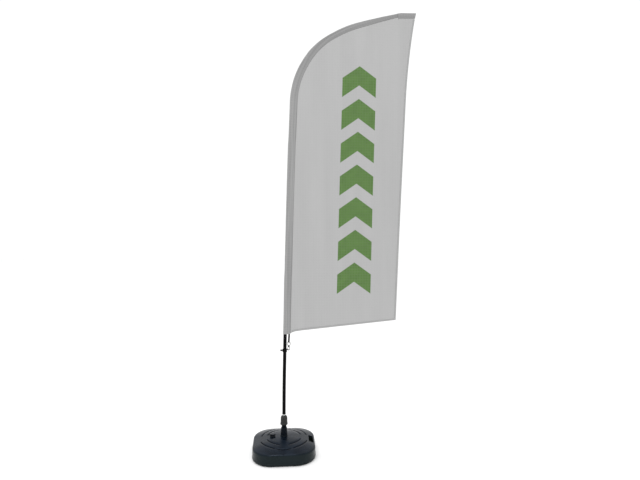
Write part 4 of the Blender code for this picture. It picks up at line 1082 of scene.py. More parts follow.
clampKnob = makePiece("clampKnob", lathe(ball, 48), blackNylon, screwMatrix)
fit(clampKnob, "screw", "black_nylon", "clamp_knob")

hook = {
    "wire": 0.0017, "half": 0.006, "socketLow": 0.0245, "socketHigh": 0.0305, "eyeHalf": 0.0103,
    "eyeTop": 0.0570,
}
hookLeft = collar["holeAt"]
hookMiddle = hookLeft + hook["half"]
hookRight = hookMiddle + hook["half"]
hookLow = lugLow + 0.0020
hingeHeight = hook["socketLow"] - 0.0022
hookPath = [
    (hookRight, 0.0, hookLow + 0.006), (hookRight, 0.0, hookLow + 0.0045),
    (hookRight, 0.0, hookLow + 0.0030),
]
hookPath += [(x, 0.0, z) for x, z in arcPoints((hookMiddle, hookLow), hook["half"], 0.0, -math.pi, 24)]
hookPath += [(hookLeft, 0.0, hookLow + 0.005), (hookLeft, 0.0, hook["socketLow"] - 0.0050)]
hookPath += [
    (hookLeft + 0.0003, 0.0, hook["socketLow"] - 0.0030),
    (hookLeft + 0.0010, 0.0, hook["socketLow"] - 0.0005),
]
hookPath += [(hookLeft + 0.0025, 0.0, hook["socketLow"] + 0.003)]
socket = lathe(
    softCorners(
        [
            (0.0019, hook["socketLow"]), (0.0055, hook["socketLow"]), (0.0055, hook["socketHigh"]),
            (0.0019, hook["socketHigh"]),
        ],
        0.0009,
    ),
    64, True, (hookMiddle, 0.0),
)
ears = []
for side in (-1, 1):
    near, far = sorted((side * 0.0013, side * 0.0026))
    ears.append(
        plate(
            (hookRight - 0.0024, near, hingeHeight - 0.0022),
            (hookRight + 0.0024, far, hook["socketLow"] + 0.002), 0.0005,
        )
    )
snapHook = makePiece(
    "snapHook", joined([sweep(hookPath, hook["wire"], 20), socket] + ears), chromatedZinc, collarMatrix,
)
fit(snapHook, "collar", "zinc", "snap_hook")

gateOutline = arcPoints((0.0, 0.0), 0.0017, 0.0, math.pi, 12)
landing = hookLow + 0.0063 - hingeHeight
gateOutline += [(-0.0014, landing), (0.0014, landing)]
gateMatrix = collarMatrix @ Matrix.Translation((hookRight, 0.0, hingeHeight))
gateBar = prism([(x, -0.0010, z) for x, z in gateOutline], (0, 0.0020, 0), 0.0003, 2)
hookGate = makePiece("hookGate", gateBar, springSteel, gateMatrix)
fit(hookGate, "gate", "spring_steel", "hook_gate")
rivetProfile = [
    (0.0004, -0.0032), (0.0011, -0.0030), (0.0011, -0.0027), (0.0006, -0.0026), (0.0006, 0.0026),
    (0.0011, 0.0027), (0.0011, 0.0030), (0.0004, 0.0032),
]
gateRivet = makePiece(
    "gateRivet", lathe(rivetProfile, 24), springSteel, gateMatrix @ Matrix.Rotation(math.pi / 2, 4, "X"),
)
fit(gateRivet, "collar", "spring_steel", "gate_rivet")

eyeLow = hook["socketHigh"] + 0.004
corner = 0.005
eyePath = []
for x, z, start in (
    (hook["eyeHalf"] - corner, eyeLow + corner, -math.pi / 2),
    (hook["eyeHalf"] - corner, hook["eyeTop"] - corner, 0.0),
    (-hook["eyeHalf"] + corner, hook["eyeTop"] - corner, math.pi / 2),
    (-hook["eyeHalf"] + corner, eyeLow + corner, math.pi),
):
    bend = arcPoints((x, z), corner, start, start + math.pi / 2, 10)
    eyePath += [(hookMiddle + px, 0.0, pz) for px, pz in bend]
post = lathe(
    [
        (0.0010, hook["socketLow"] - 0.0021), (0.0026, hook["socketLow"] - 0.0019),
        (0.0026, hook["socketLow"] - 0.0003), (0.0015, hook["socketLow"] - 0.0003),
        (0.0015, hook["socketHigh"] + 0.0003), (0.0034, hook["socketHigh"] + 0.0003),
        (0.0036, hook["socketHigh"] + 0.0012), (0.0030, eyeLow + 0.0006), (0.0014, eyeLow + 0.0012),
    ],
    40, False, (hookMiddle, 0.0),
)
swivelEye = makePiece(
    "swivelEye", joined([sweep(eyePath, hook["wire"], 20, True), post]), chromatedZinc, collarMatrix,
)
fit(swivelEye, "collar", "zinc", "swivel_eye")
print("feather flag: collar and hook made")


# The elastic strap: knitted loop, sewn to itself above the eye

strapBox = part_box("elastic_strap")
strap = {"width": 0.012, "thick": 0.0013, "ribMm": 1.25, "black": "#060607", "grey": "#151517"}


def knittedElastic():
    # Woven elastic webbing: rubber cores covered in matt yarn, so it shows lengthwise ribs with a cross twill
    material, tree, shader = newMaterial(
        "wovenElasticWebbing", {"Sheen Weight": 0.04, "Roughness": 0.85, "Specular IOR Level": 0.12},
    )
    place = addNode(tree, "ShaderNodeUVMap", {"uv_map": "cloth"}).outputs[0]
    axes = addNode(tree, "ShaderNodeSeparateXYZ", None, {0: place})
    ribs = addNode(
        tree, "ShaderNodeMath", {"operation": "SINE"},
        {
            0: addNode(
                tree, "ShaderNodeMath", {"operation": "MULTIPLY"},
                {0: axes.outputs[0], 1: math.tau * 1000 / strap["ribMm"]},
            ).outputs[0],
        },
    ).outputs[0]
    twill = addNode(
        tree, "ShaderNodeMath", {"operation": "SINE"},
        {
            0: addNode(
                tree, "ShaderNodeMath", {"operation": "MULTIPLY"},
                {
                    0: addNode(
                        tree, "ShaderNodeMath", {"operation": "ADD"},
                        {0: axes.outputs[0], 1: axes.outputs[1]},
                    ).outputs[0],
                    1: math.tau * 1000 / 1.6,
                },
            ).outputs[0],
        },
    ).outputs[0]
    height = addNode(
        tree, "ShaderNodeMath", {"operation": "ADD"},
        {
            0: ribs,
            1: addNode(tree, "ShaderNodeMath", {"operation": "MULTIPLY"}, {0: twill, 1: 0.35}).outputs[0],
        },
    ).outputs[0]
    # painted highlight: the webbing goes greyer on its raised ribs and twill
    tree.links.new(
        addNode(
            tree, "ShaderNodeMix", {"data_type": "RGBA"},
            {
                0: addNode(
                    tree, "ShaderNodeMapRange", {"interpolation_type": "SMOOTHSTEP"},
                    {0: height, 1: -1.0, 2: 1.2, 3: 0.0, 4: 1.0},
                ).outputs[0],
                6: toLinear(strap["black"]), 7: toLinear(strap["grey"]),
            },
        ).outputs[2],
        shader.inputs["Base Color"],
    )
    bump = addNode(tree, "ShaderNodeBump", None, {"Strength": 0.6, "Distance": 0.0002, "Height": height})
    tree.links.new(bump.outputs[0], shader.inputs["Normal"])
    return material


def strapSkin():
    eyeCentre = collarMatrix @ Vector((hookMiddle, 0.0, hook["eyeTop"]))
    mouthPoint, along, across, lean = poleAt(0.552)
    topX = (mouthPoint + across * (0.0364 - strap["width"] * 0.5 - 0.002)).x
    topZ = strapBox[1][2]
    inner = hook["wire"] + 0.0003
    middle = inner + strap["thick"] / 2
    sewn = eyeCentre.z + 0.016
    path = [(strap["thick"] / 2 * 0.98, z) for z in [topZ - (topZ - sewn) * k / 16 for k in range(17)]]
    for k in range(1, 9):  # opens round the wire
        share = k / 8
        path.append(
            (
                strap["thick"] / 2 + (middle - strap["thick"] / 2) * (share * share * (3 - 2 * share)),
                sewn + (eyeCentre.z - sewn) * share,
            )
        )
    path += [(y, z) for y, z in arcPoints((0.0, eyeCentre.z), middle, 0.0, -math.pi, 16)[1:-1]]
    path += [(-y, z) for y, z in reversed(path[:25])]
    bm = bmesh.new()
    layer = bm.loops.layers.uv.new("cloth")
    across = 8
    loops = []
    passed = 0.0
    for at, (y, z) in enumerate(path):
        before, after = path[max(at - 1, 0)], path[min(at + 1, len(path) - 1)]
        tangent = Vector((after[0] - before[0], after[1] - before[1])).normalized()
        normal = Vector((-tangent.y, tangent.x))
        if at:
            passed += math.dist(path[at - 1], (y, z))
        share = (z - eyeCentre.z) / (topZ - eyeCentre.z)
        centreX = eyeCentre.x + (topX - eyeCentre.x) * share
        row = []
        for face in (1, -1):
            for k in range(across + 1):
                side = (k / across - 0.5) * face
                swell = strap["thick"] / 2 * (1 - 0.5 * abs(2 * side) ** 6)
                row.append(
                    (
                        bm.verts.new(
                            (
                                centreX + side * strap["width"], y + normal.x * swell * face,
                                z + normal.y * swell * face,
                            )
                        ),
                        side * strap["width"], passed,
                    )
                )
        loops.append(row)
    for low, high in zip(loops, loops[1:]):
        for k in range(len(low)):
            after = (k + 1) % len(low)
            corners = (low[k], low[after], high[after], high[k])
            face = bm.faces.new([c[0] for c in corners])
            for loop, c in zip(face.loops, corners):
                loop[layer].uv = (c[1], c[2])
    bm.faces.new([c[0] for c in loops[0]])
    bm.faces.new([c[0] for c in loops[-1]])
    return bm


elasticStrap = makePiece("elasticStrap", strapSkin(), knittedElastic(), None, 60)
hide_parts("elastic_strap")
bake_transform(elasticStrap)


# The flag: sleeve over the pole, closed pocket at the tip, and the printed panel

flag = {
    "foot": 0.552, "fabric": 0.0008, "sleeveFabric": 0.0010, "slack": 0.0006, "seamHalf": 0.0012,
    "widths": ((0.55, 0.050), (2.45, 0.052), (2.75, 0.041), (3.00, 0.038), (3.25, 0.026)),
    "pocketFrom": 3.262, "pocketTo": 3.396, "pocketWidth": 0.0385, "pocketNose": 0.0068, "pocketSlant": 0.22,
    "trailFoot": 0.7925, "trailSlope": 0.0477, "trailFlare": 0.104, "flareDrop": 0.615,
    "hem": 0.014, "columns": 84, "rows": 190,
}


def between(table, at):
    if at <= table[0][0]:
        return table[0][1]
    for (a, first), (b, second) in zip(table, table[1:]):
        if at <= b:
            return first + (second - first) * (at - a) / (b - a)
    return table[-1][1]


def sleeveNose(distance):
    past = pole["ring"] + 0.006
    steps = (
        (pole["lowerEnd"] + past, pole["lower"]), (pole["lowerEnd"] + past + 0.05, pole["middle"]),
        (pole["middleEnd"] + past, pole["middle"]), (pole["middleEnd"] + past + 0.05, pole["upper"]),
    )
    radius = between(steps, distance) if distance < steps[-1][0] else upperRadius(distance)
    return radius + flag["slack"] + flag["sleeveFabric"]


def sleeveReach(distance):
    return between(flag["widths"], distance) - sleeveNose(distance)


def pocketSlant(distance):
    share = (distance - flag["pocketFrom"]) / (flag["pocketTo"] - flag["pocketFrom"])
    return flag["pocketSlant"] * max(0.0, share * 2 - 1)


def wrinkle(distance, around):
    # Soft puckers across the sleeve, deeper where the pole bends
    bend = 0.35 + 0.65 * min(1.0, max(0.0, (distance - 2.1) / 0.3)) * min(
        1.0, max(0.2, (3.25 - distance) / 0.3),
    )
    wave = noise.noise(
        Vector((distance * 16.0, around * 1.3, 4.0))
    ) + 0.5 * noise.noise(Vector((distance * 41.0, around * 2.1, 9.0)))
    return max(0.0, wave + 0.25) * 0.0016 * bend


def tearRing(distance, nose, reach, edge, slant=0.0, puckers=1.0):
    point, along, across, lean = poleAt(distance)
    wide = math.radians(100)
    flat = []
    for k in range(25):
        a = -wide + 2 * wide * k / 24
        flat.append((-nose * math.cos(a), nose * math.sin(a), a))
    flank = 7
    startU, startV, a = flat[-1]
    right = []
    for k in range(1, flank + 1):
        share = k / flank
        swell = 0.0010 * math.sin(math.pi * share) * min(1.0, puckers)
        right.append(
            (startU + (reach - startU) * share, startV + (edge - startV) * share + swell, wide + share)
        )
    left = [(u, -v, -b) for u, v, b in reversed(right)]
    ring = []
    for u, v, b in flat + right + left:
        lift = wrinkle(distance, b) * puckers * max(0.0, 1 - max(0.0, abs(b) - wide) * 0.9)
        size = math.hypot(u, v) or 1.0
        ring.append(
            point + across * (u + lift * min(0.0, u) / size) + Vector(
                (0.0, v + lift * v / size, 0.0)
            ) - along * slant * u
        )
    return ring


def clothSkin(rings, lengths, bm=None):
    # A closed skin with a UV map in metres: along the piece, and round it
    bm = bm or bmesh.new()
    layer = bm.loops.layers.uv.verify() if bm.loops.layers.uv else bm.loops.layers.uv.new("cloth")
    loops = [[bm.verts.new(p) for p in ring] for ring in rings]
    around = []
    for ring in rings:
        run, passed = [0.0], 0.0
        for a, b in zip(ring, ring[1:] + ring[:1]):
            passed += (b - a).length
            run.append(passed)
        around.append(run)
    count = len(rings)
    for at in range(count):
        low, high = loops[at], loops[(at + 1) % count]
        for k in range(len(low)):
            after = (k + 1) % len(low)
            face = bm.faces.new((low[k], low[after], high[after], high[k]))
            spots = ((at, k), (at, k + 1), ((at + 1) % count, k + 1), ((at + 1) % count, k))
            for loop, (ringAtIndex, step) in zip(face.loops, spots):
                loop[layer].uv = (lengths[ringAtIndex], around[ringAtIndex][step])
    return bm


def sleevePolyester(name, look):
    # Dyed woven polyester, the same cloth as the panel, its greys painted darker as shade and the double layer
    # would show:
    # dull, with long soft light and dark bands drawn lengthwise,
    # and a slight sheen. Yarns of 0.35 mm are drawn 3 mm apart so that
    # they show.
    material, tree, shader = newMaterial(
        name, {"Sheen Weight": 0.15, "Sheen Roughness": 0.5, "Specular IOR Level": 0.2, "Roughness": 0.82},
    )
    place = addNode(tree, "ShaderNodeUVMap", {"uv_map": "cloth"}).outputs[0]
    pulled = addNode(tree, "ShaderNodeMapping", None, {"Vector": place, "Scale": (1.6, 70.0, 1.0)}).outputs[0]
    streak = addNode(
        tree, "ShaderNodeTexNoise", None, {"Vector": pulled, "Scale": 1.0, "Detail": 3.0, "Roughness": 0.5},
    ).outputs[0]
    mottle = addNode(
        tree, "ShaderNodeTexNoise", None,
        {"Vector": place, "Scale": 1000 / 25, "Detail": 4.0, "Roughness": 0.6},
    ).outputs[0]
    colour = addNode(
        tree, "ShaderNodeMix", {"data_type": "RGBA"},
        {
            0: addNode(
                tree, "ShaderNodeMapRange", {"interpolation_type": "SMOOTHSTEP"},
                {0: streak, 1: 0.35, 2: 0.65, 3: 0.0, 4: 1.0},
            ).outputs[0],
            6: toLinear(look["sleeveDark"]), 7: toLinear(look["sleeveLight"]),
        },
    ).outputs[2]
    colour = addNode(
        tree, "ShaderNodeMix", {"data_type": "RGBA"},
        {
            0: addNode(
                tree, "ShaderNodeMapRange", {"interpolation_type": "SMOOTHSTEP"},
                {0: mottle, 1: 0.2, 2: 0.9, 3: 0.0, 4: 0.5},
            ).outputs[0],
            6: colour, 7: toLinear(look["sleeve"]),
        },
    ).outputs[2]
    worldPlace = addNode(tree, "ShaderNodeTexCoord").outputs["Object"]
    worldAxes = addNode(tree, "ShaderNodeSeparateXYZ", None, {0: worldPlace})
    # painted shade: the sleeve goes darker on the upper bend, 2.35 m to 2.75 m high
    bend = addNode(
        tree, "ShaderNodeMapRange", {"interpolation_type": "SMOOTHSTEP"},
        {0: worldAxes.outputs[2], 1: 2.35, 2: 2.75, 3: 0.0, 4: 0.35},
    ).outputs[0]
    colour = addNode(
        tree, "ShaderNodeMix", {"data_type": "RGBA"}, {0: bend, 6: colour, 7: toLinear("#7a7a7a")},
    ).outputs[2]
    cloth, bump = wovenBump(tree, place, look["weaveMm"], 0.25)
    # painted highlight: the raised yarns of the weave are lightened
    colour = addNode(
        tree, "ShaderNodeMix", {"data_type": "RGBA"},
        {
            0: addNode(tree, "ShaderNodeMath", {"operation": "MULTIPLY"}, {0: cloth, 1: 0.08}).outputs[0],
            6: colour, 7: toLinear("#c0c0c0"),
        },
    ).outputs[2]
    tree.links.new(colour, shader.inputs["Base Color"])
    tree.links.new(bump.outputs[0], shader.inputs["Normal"])
    return material


sleeveCloth = sleevePolyester("sleevePolyester", clothLook)


def stitchedCloth(name, ground, thread, rows):
    # Folded and sewn polyester: rows of lockstitch, 4 mm a stitch, drawn as 9 mm dashes 1.6 mm wide
    # so that they show
    material, tree, shader = newMaterial(
        name, {"Sheen Weight": 0.15, "Specular IOR Level": 0.2, "Roughness": 0.84},
    )
    place = addNode(tree, "ShaderNodeUVMap", {"uv_map": "cloth"}).outputs[0]
    axes = addNode(tree, "ShaderNodeSeparateXYZ", None, {0: place})
    row = bands(tree, axes.outputs[1], [(at - 0.0008, at + 0.0008) for at in rows], 0.0003)
    dash = addNode(
        tree, "ShaderNodeMath", {"operation": "GREATER_THAN"},
        {
            0: addNode(
                tree, "ShaderNodeMath", {"operation": "FRACT"},
                {
                    0: addNode(
                        tree, "ShaderNodeMath", {"operation": "DIVIDE"}, {0: axes.outputs[0], 1: 0.009},
                    ).outputs[0],
                },
            ).outputs[0],
            1: 0.28,
        },
    ).outputs[0]
    stitches = addNode(tree, "ShaderNodeMath", {"operation": "MULTIPLY"}, {0: row, 1: dash}).outputs[0]
    mottle = addNode(
        tree, "ShaderNodeTexNoise", None, {"Vector": place, "Scale": 1000 / 30, "Detail": 4.0},
    ).outputs[0]
    colour = addNode(
        tree, "ShaderNodeMix", {"data_type": "RGBA"},
        {
            0: addNode(
                tree, "ShaderNodeMapRange", {"interpolation_type": "SMOOTHSTEP"},
                {0: mottle, 1: 0.3, 2: 0.7, 3: 0.0, 4: 1.0},
            ).outputs[0],
            6: toLinear(ground[0]), 7: toLinear(ground[1]),
        },
    ).outputs[2]
    colour = addNode(
        tree, "ShaderNodeMix", {"data_type": "RGBA"},
        {
            0: addNode(tree, "ShaderNodeMath", {"operation": "MULTIPLY"}, {0: stitches, 1: 0.75}).outputs[0],
            6: colour, 7: toLinear(thread),
        },
    ).outputs[2]
    tree.links.new(colour, shader.inputs["Base Color"])
    cloth, bump = wovenBump(tree, place, clothLook["weaveMm"], 0.2)
    sewn = addNode(
        tree, "ShaderNodeBump", None,
        {"Strength": 0.7, "Distance": 0.0005, "Height": stitches, "Normal": bump.outputs[0]},
    )
    tree.links.new(sewn.outputs[0], shader.inputs["Normal"])
    return material


hemCloth = stitchedCloth(
    "hemmedPolyester", (clothLook["hem"], clothLook["hemDark"]), clothLook["thread"], (0.003, 0.0105),
)


def sleeveSkin():
    places = stepsAlong(flag["foot"], flag["pocketFrom"] - 0.0003, 0.009)
    rings = [tearRing(s, sleeveNose(s), sleeveReach(s), flag["seamHalf"]) for s in places]
    lengths = list(places)
    for s in reversed(places):
        rings.append(
            tearRing(
                s, sleeveNose(s) - flag["sleeveFabric"], sleeveReach(s) - 0.004, flag["seamHalf"] * 0.35,
                0.0, 0.9,
            )
        )
        lengths.append(s)
    return clothSkin(rings, lengths)


def bandSkin(start, end, proud):
    # A hem band, standing just proud of the sleeve's cloth
    places = stepsAlong(start, end, 0.005)
    rings, lengths = [], []
    for at, s in enumerate(places):
        soft = 0.6 if at in (0, len(places) - 1) else 1.0
        rings.append(
            tearRing(s, sleeveNose(s) + proud * soft, sleeveReach(s), flag["seamHalf"] + proud * soft)
        )
        lengths.append(s)
    for s in reversed(places):
        rings.append(tearRing(s, sleeveNose(s) - 0.0002, sleeveReach(s) - 0.001, flag["seamHalf"] * 0.8))
        lengths.append(s)
    return clothSkin(rings, lengths)


poleSleeve = makePiece("poleSleeve", sleeveSkin(), sleeveCloth, None, 70)
fit(poleSleeve, "pole", "sleeve_cloth", "pole_sleeve")
mouthHem = makePiece(
    "sleeveMouthHem", bandSkin(flag["foot"], flag["foot"] + 0.016, 0.0006), sleeveCloth, None, 70,
)
fit(mouthHem, "pole", "sleeve_cloth")


def pocketSkin():
    reach = flag["pocketWidth"] - flag["pocketNose"]
    places = stepsAlong(flag["pocketFrom"], flag["pocketTo"], 0.006)
    inner = flag["pocketNose"] - flag["sleeveFabric"]
    rings = [tearRing(s, flag["pocketNose"], reach, flag["seamHalf"], pocketSlant(s), 0.6) for s in places]
    blind = [min(s, flag["pocketTo"] - 0.006) for s in places]
    inside = [tearRing(s, inner, reach - 0.004, flag["seamHalf"] * 0.35, pocketSlant(s), 0.4) for s in blind]
    bm = skin(list(reversed(rings)) + inside)
    layer = bm.loops.layers.uv.new("cloth")
    for face in bm.faces:
        for loop in face.loops:
            loop[layer].uv = (loop.vert.co.x, loop.vert.co.z + loop.vert.co.y)
    return bm


tipPocket = makePiece("tipPocket", pocketSkin(), sleeveCloth, None, 70)
fit(tipPocket, "pole", "sleeve_cloth", "tip_pocket")


def barTack(start, end, reachLow, reachHigh, proud):
    # A close zigzag of thread, built as one thin raised bar on each side of the cloth
    parts = []
    for side in (-1, 1):
        rings = []
        for s in stepsAlong(start, end, 0.002):
            point, along, across, lean = poleAt(s)
            wave = 0.0006 * math.sin(s * math.tau / 0.004)
            ring = []
            for u, v in ((reachLow, 0.0), (reachLow, proud), (reachHigh, proud), (reachHigh, 0.0)):
                ring.append(
                    point + across * (u + wave) + Vector((0.0, side * (flag["seamHalf"] * 0.6 + v), 0.0))
                )
            rings.append(ring)
        parts.append(skin(rings))
    return joined(parts)


sewingThread = mouldedPlastic("bondedPolyesterThread", {
    "dark": "#8a8a8a", "light": "#a2a2a2", "worn": "#b5b5b5", "ior": 1.5, "smooth": 0.55, "rough": 0.7,
    "mottleMm": 3, "grainMm": 0.7, "grain": 0.4, "waviness": 0.05, "shine": 0.3,
})
pocketTack = makePiece(
    "pocketBarTack", barTack(flag["pocketFrom"] + 0.001, flag["pocketFrom"] + 0.006, 0.004, 0.029, 0.0016),
    sewingThread,
)
fit(pocketTack, "pole", "sleeve_cloth")
print("feather flag: sleeve and pocket made")


def edgeCurve():
    # The panel's upper left edge: along the sleeve's seam, then along the pocket's lower line
    points = []
    for s in stepsAlong(flag["foot"] + 0.003, flag["pocketFrom"] - 0.0003, 0.010):
        point, along, across, lean = poleAt(s)
        points.append(point + across * (sleeveReach(s) + 0.0003))
    reach = flag["pocketWidth"] - flag["pocketNose"] + 0.0003
    for s in stepsAlong(flag["pocketFrom"], flag["pocketTo"], 0.010):
        point, along, across, lean = poleAt(s)
        points.append(point + across * reach - along * pocketSlant(s) * reach)
    return points


seamEdge = edgeCurve()
panelTop = seamEdge[-1]
mouthHeight = poleAt(flag["foot"])[0].z
seamX = seamEdge[0].x


def bottomHeight(x):
    return mouthHeight + 0.0098 + 0.098 * x - 0.013 * math.exp((seamX - x) / 0.018)


panelLow = bottomHeight(flag["trailFoot"])


def trailingX(height):
    above = max(0.0, height - panelTop.z + flag["flareDrop"])
    return flag["trailFoot"] + flag["trailSlope"] * (height - panelLow) + flag["trailFlare"] * above ** 2


trailShift = panelTop.x - trailingX(panelTop.z)
trailEdge = []
for step in range(201):
    share = step / 200
    height = panelLow + (panelTop.z - panelLow) * share
    trailEdge.append(Vector((trailingX(height) + trailShift * share ** 4, 0.0, height)))
bottomEdge = []
for step in range(121):
    share = (step / 120) ** 1.6
    x = seamX + (flag["trailFoot"] - seamX) * share
    bottomEdge.append(Vector((x, 0.0, bottomHeight(x))))


def runOf(curve):
    run = [0.0]
    for a, b in zip(curve, curve[1:]):
        run.append(run[-1] + (b - a).length)
    return run


def pointAlong(curve, run, share):
    want = share * run[-1]
    low, high = 0, len(run) - 1
    while high - low > 1:
        middle = (low + high) // 2
        if run[middle] <= want:
            low = middle
        else:
            high = middle
    part = (want - run[low]) / max(run[high] - run[low], 1e-9)
    return curve[low].lerp(curve[high], part)


seamRun, trailRun, bottomRun = runOf(seamEdge), runOf(trailEdge), runOf(bottomEdge)


def clothWave(u, v, x, z):
    # How far the cloth stands out of its plane: slow ripples from the seam, and tension folds under
    # the bend and at the foot
    fade = min(1.0, u * 4) * (1 - v ** 8)
    slow = 0.0035 * math.sin(
        math.tau * (0.55 * z + 0.35 * x) + 0.6
    ) + 0.0020 * math.sin(math.tau * (0.9 * x - 0.4 * z) + 2.0)
    pulled = 0.0012 * math.sin(
        math.tau * (x * 3.1 + z * 2.2)
    ) * math.exp(-((z - 2.75) / 0.25) ** 2) * max(0.0, 1 - u)
    lowFold = 0.0010 * math.sin(
        math.tau * (x * 4.0 - z * 2.6)
    ) * math.exp(-((z - 0.95) / 0.16) ** 2) * max(0.0, 1 - u)
    return fade * (slow + pulled + lowFold)


def panelPoint(u, v):
    left = pointAlong(seamEdge, seamRun, v)
    right = pointAlong(trailEdge, trailRun, v)
    spot = left.lerp(right, u)
    bottom = pointAlong(bottomEdge, bottomRun, u)
    spot += (1 - v) ** 6 * (bottom - bottomEdge[0].lerp(bottomEdge[-1], u))
    spot.y = clothWave(u, v, spot.x, spot.z)
    return spot


def slabSkin(grid, half, uvOf):
    # Front and back of a thin sheet from a grid of points, with its edges closed
    bm = bmesh.new()
    layer = bm.loops.layers.uv.new("cloth")
    rows, columns = len(grid), len(grid[0])
    sides = []
    for sign in (-1, 1):
        sides.append([[bm.verts.new(p + Vector((0.0, sign * half, 0.0))) for p in row] for row in grid])

    def face(corners, spots):
        made = bm.faces.new(corners)
        for loop, spot in zip(made.loops, spots):
            loop[layer].uv = uvOf(*spot)

    for verts in sides:
        for r in range(rows - 1):
            for c in range(columns - 1):
                spots = ((r, c), (r, c + 1), (r + 1, c + 1), (r + 1, c))
                face([verts[a][b] for a, b in spots], spots)
    front, back = sides
    for r in range(rows - 1):
        for c in (0, columns - 1):
            face(
                (front[r][c], front[r + 1][c], back[r + 1][c], back[r][c]),
                ((r, c), (r + 1, c), (r + 1, c), (r, c)),
            )
    for c in range(columns - 1):
        for r in (0, rows - 1):
            face(
                (front[r][c], front[r][c + 1], back[r][c + 1], back[r][c]),
                ((r, c), (r, c + 1), (r, c + 1), (r, c)),
            )
    return bm


# The print: a column of green chevrons, plain direction marks

marks = {
    "foot": (0.491, 1.0967), "lean": 0.0269, "half": 0.120, "pitch": 0.2315, "thick": 0.138, "rise": 0.085,
    "count": 7, "soft": 0.0018,
}


def printedPolyester():
    # Warp-knitted flag polyester, 110 g: thin and matt with a faint lengthwise rib. Yarns of 0.35 mm
    # are drawn 3 mm apart
    # so that they show. The ink goes through the cloth, so both sides carry it, a little uneven in tone.
    material, tree, shader = newMaterial(
        "printedFlagPolyester",
        {"Sheen Weight": 0.10, "Sheen Roughness": 0.6, "Specular IOR Level": 0.18, "Roughness": 0.86},
    )
    place = addNode(tree, "ShaderNodeUVMap", {"uv_map": "cloth"}).outputs[0]
    axes = addNode(tree, "ShaderNodeSeparateXYZ", None, {0: place})
    x, z = axes.outputs[0], axes.outputs[1]
    streakPlace = addNode(
        tree, "ShaderNodeMapping", None, {"Vector": place, "Scale": (9.0, 0.9, 1.0)},
    ).outputs[0]
    streak = addNode(
        tree, "ShaderNodeTexNoise", None,
        {"Vector": streakPlace, "Scale": 1.0, "Detail": 4.0, "Roughness": 0.5},
    ).outputs[0]
    mottle = addNode(
        tree, "ShaderNodeTexNoise", None,
        {"Vector": place, "Scale": 1000 / 40, "Detail": 5.0, "Roughness": 0.6},
    ).outputs[0]
    ground = addNode(
        tree, "ShaderNodeMix", {"data_type": "RGBA"},
        {
            0: addNode(
                tree, "ShaderNodeMapRange", {"interpolation_type": "SMOOTHSTEP"},
                {0: streak, 1: 0.3, 2: 0.7, 3: 0.0, 4: 1.0},
            ).outputs[0],
            6: toLinear(clothLook["panelDark"]), 7: toLinear(clothLook["panelLight"]),
        },
    ).outputs[2]
    ground = addNode(
        tree, "ShaderNodeMix", {"data_type": "RGBA"},
        {
            0: addNode(
                tree, "ShaderNodeMapRange", {"interpolation_type": "SMOOTHSTEP"},
                {0: mottle, 1: 0.2, 2: 0.8, 3: 0.0, 4: 0.5},
            ).outputs[0],
            6: ground, 7: toLinear(clothLook["panel"]),
        },
    ).outputs[2]
    ink = addNode(
        tree, "ShaderNodeMix", {"data_type": "RGBA"},
        {
            0: addNode(
                tree, "ShaderNodeMapRange", {"interpolation_type": "SMOOTHSTEP"},
                {0: mottle, 1: 0.3, 2: 0.7, 3: 0.0, 4: 1.0},
            ).outputs[0],
            6: toLinear(clothLook["inkDark"]), 7: toLinear(clothLook["ink"]),
        },
    ).outputs[2]
    climb = addNode(tree, "ShaderNodeMath", {"operation": "SUBTRACT"}, {0: z, 1: marks["foot"][1]}).outputs[0]
    middle = addNode(
        tree, "ShaderNodeMath", {"operation": "ADD"},
        {
            0: addNode(
                tree, "ShaderNodeMath", {"operation": "MULTIPLY"}, {0: climb, 1: marks["lean"]},
            ).outputs[0],
            1: marks["foot"][0],
        },
    ).outputs[0]
    aside = addNode(
        tree, "ShaderNodeMath", {"operation": "ABSOLUTE"},
        {0: addNode(tree, "ShaderNodeMath", {"operation": "SUBTRACT"}, {0: x, 1: middle}).outputs[0]},
    ).outputs[0]
    level = addNode(
        tree, "ShaderNodeMath", {"operation": "ADD"},
        {
            0: climb,
            1: addNode(
                tree, "ShaderNodeMath", {"operation": "MULTIPLY"},
                {0: aside, 1: marks["rise"] / marks["half"]},
            ).outputs[0],
        },
    ).outputs[0]
    level = addNode(
        tree, "ShaderNodeMath", {"operation": "SUBTRACT"}, {0: level, 1: marks["rise"]},
    ).outputs[0]
    across = addNode(
        tree, "ShaderNodeMapRange", {"interpolation_type": "SMOOTHSTEP"},
        {0: aside, 1: marks["half"] - marks["soft"], 2: marks["half"] + marks["soft"], 3: 1.0, 4: 0.0},
    ).outputs[0]
    step = addNode(
        tree, "ShaderNodeMath", {"operation": "MULTIPLY"},
        {
            0: addNode(
                tree, "ShaderNodeMath", {"operation": "FRACT"},
                {
                    0: addNode(
                        tree, "ShaderNodeMath", {"operation": "DIVIDE"}, {0: level, 1: marks["pitch"]},
                    ).outputs[0],
                },
            ).outputs[0],
            1: marks["pitch"],
        },
    ).outputs[0]
    soft = marks["soft"]
    band = bands(tree, step, [(soft, marks["thick"])], soft)
    inside = bands(tree, level, [(-0.01, marks["pitch"] * marks["count"] - 0.01)], 0.002)
    mask = addNode(
        tree, "ShaderNodeMath", {"operation": "MULTIPLY"},
        {
            0: addNode(tree, "ShaderNodeMath", {"operation": "MULTIPLY"}, {0: across, 1: band}).outputs[0],
            1: inside,
        },
    ).outputs[0]
    colour = addNode(tree, "ShaderNodeMix", {"data_type": "RGBA"}, {0: mask, 6: ground, 7: ink}).outputs[2]
    cloth, bump = wovenBump(tree, place, clothLook["weaveMm"], 0.18)
    # painted highlight: the raised yarns of the weave are lightened
    colour = addNode(
        tree, "ShaderNodeMix", {"data_type": "RGBA"},
        {
            0: addNode(tree, "ShaderNodeMath", {"operation": "MULTIPLY"}, {0: cloth, 1: 0.05}).outputs[0],
            6: colour, 7: toLinear("#dddddd"),
        },
    ).outputs[2]
    tree.links.new(colour, shader.inputs["Base Color"])
    tree.links.new(bump.outputs[0], shader.inputs["Normal"])
    return material


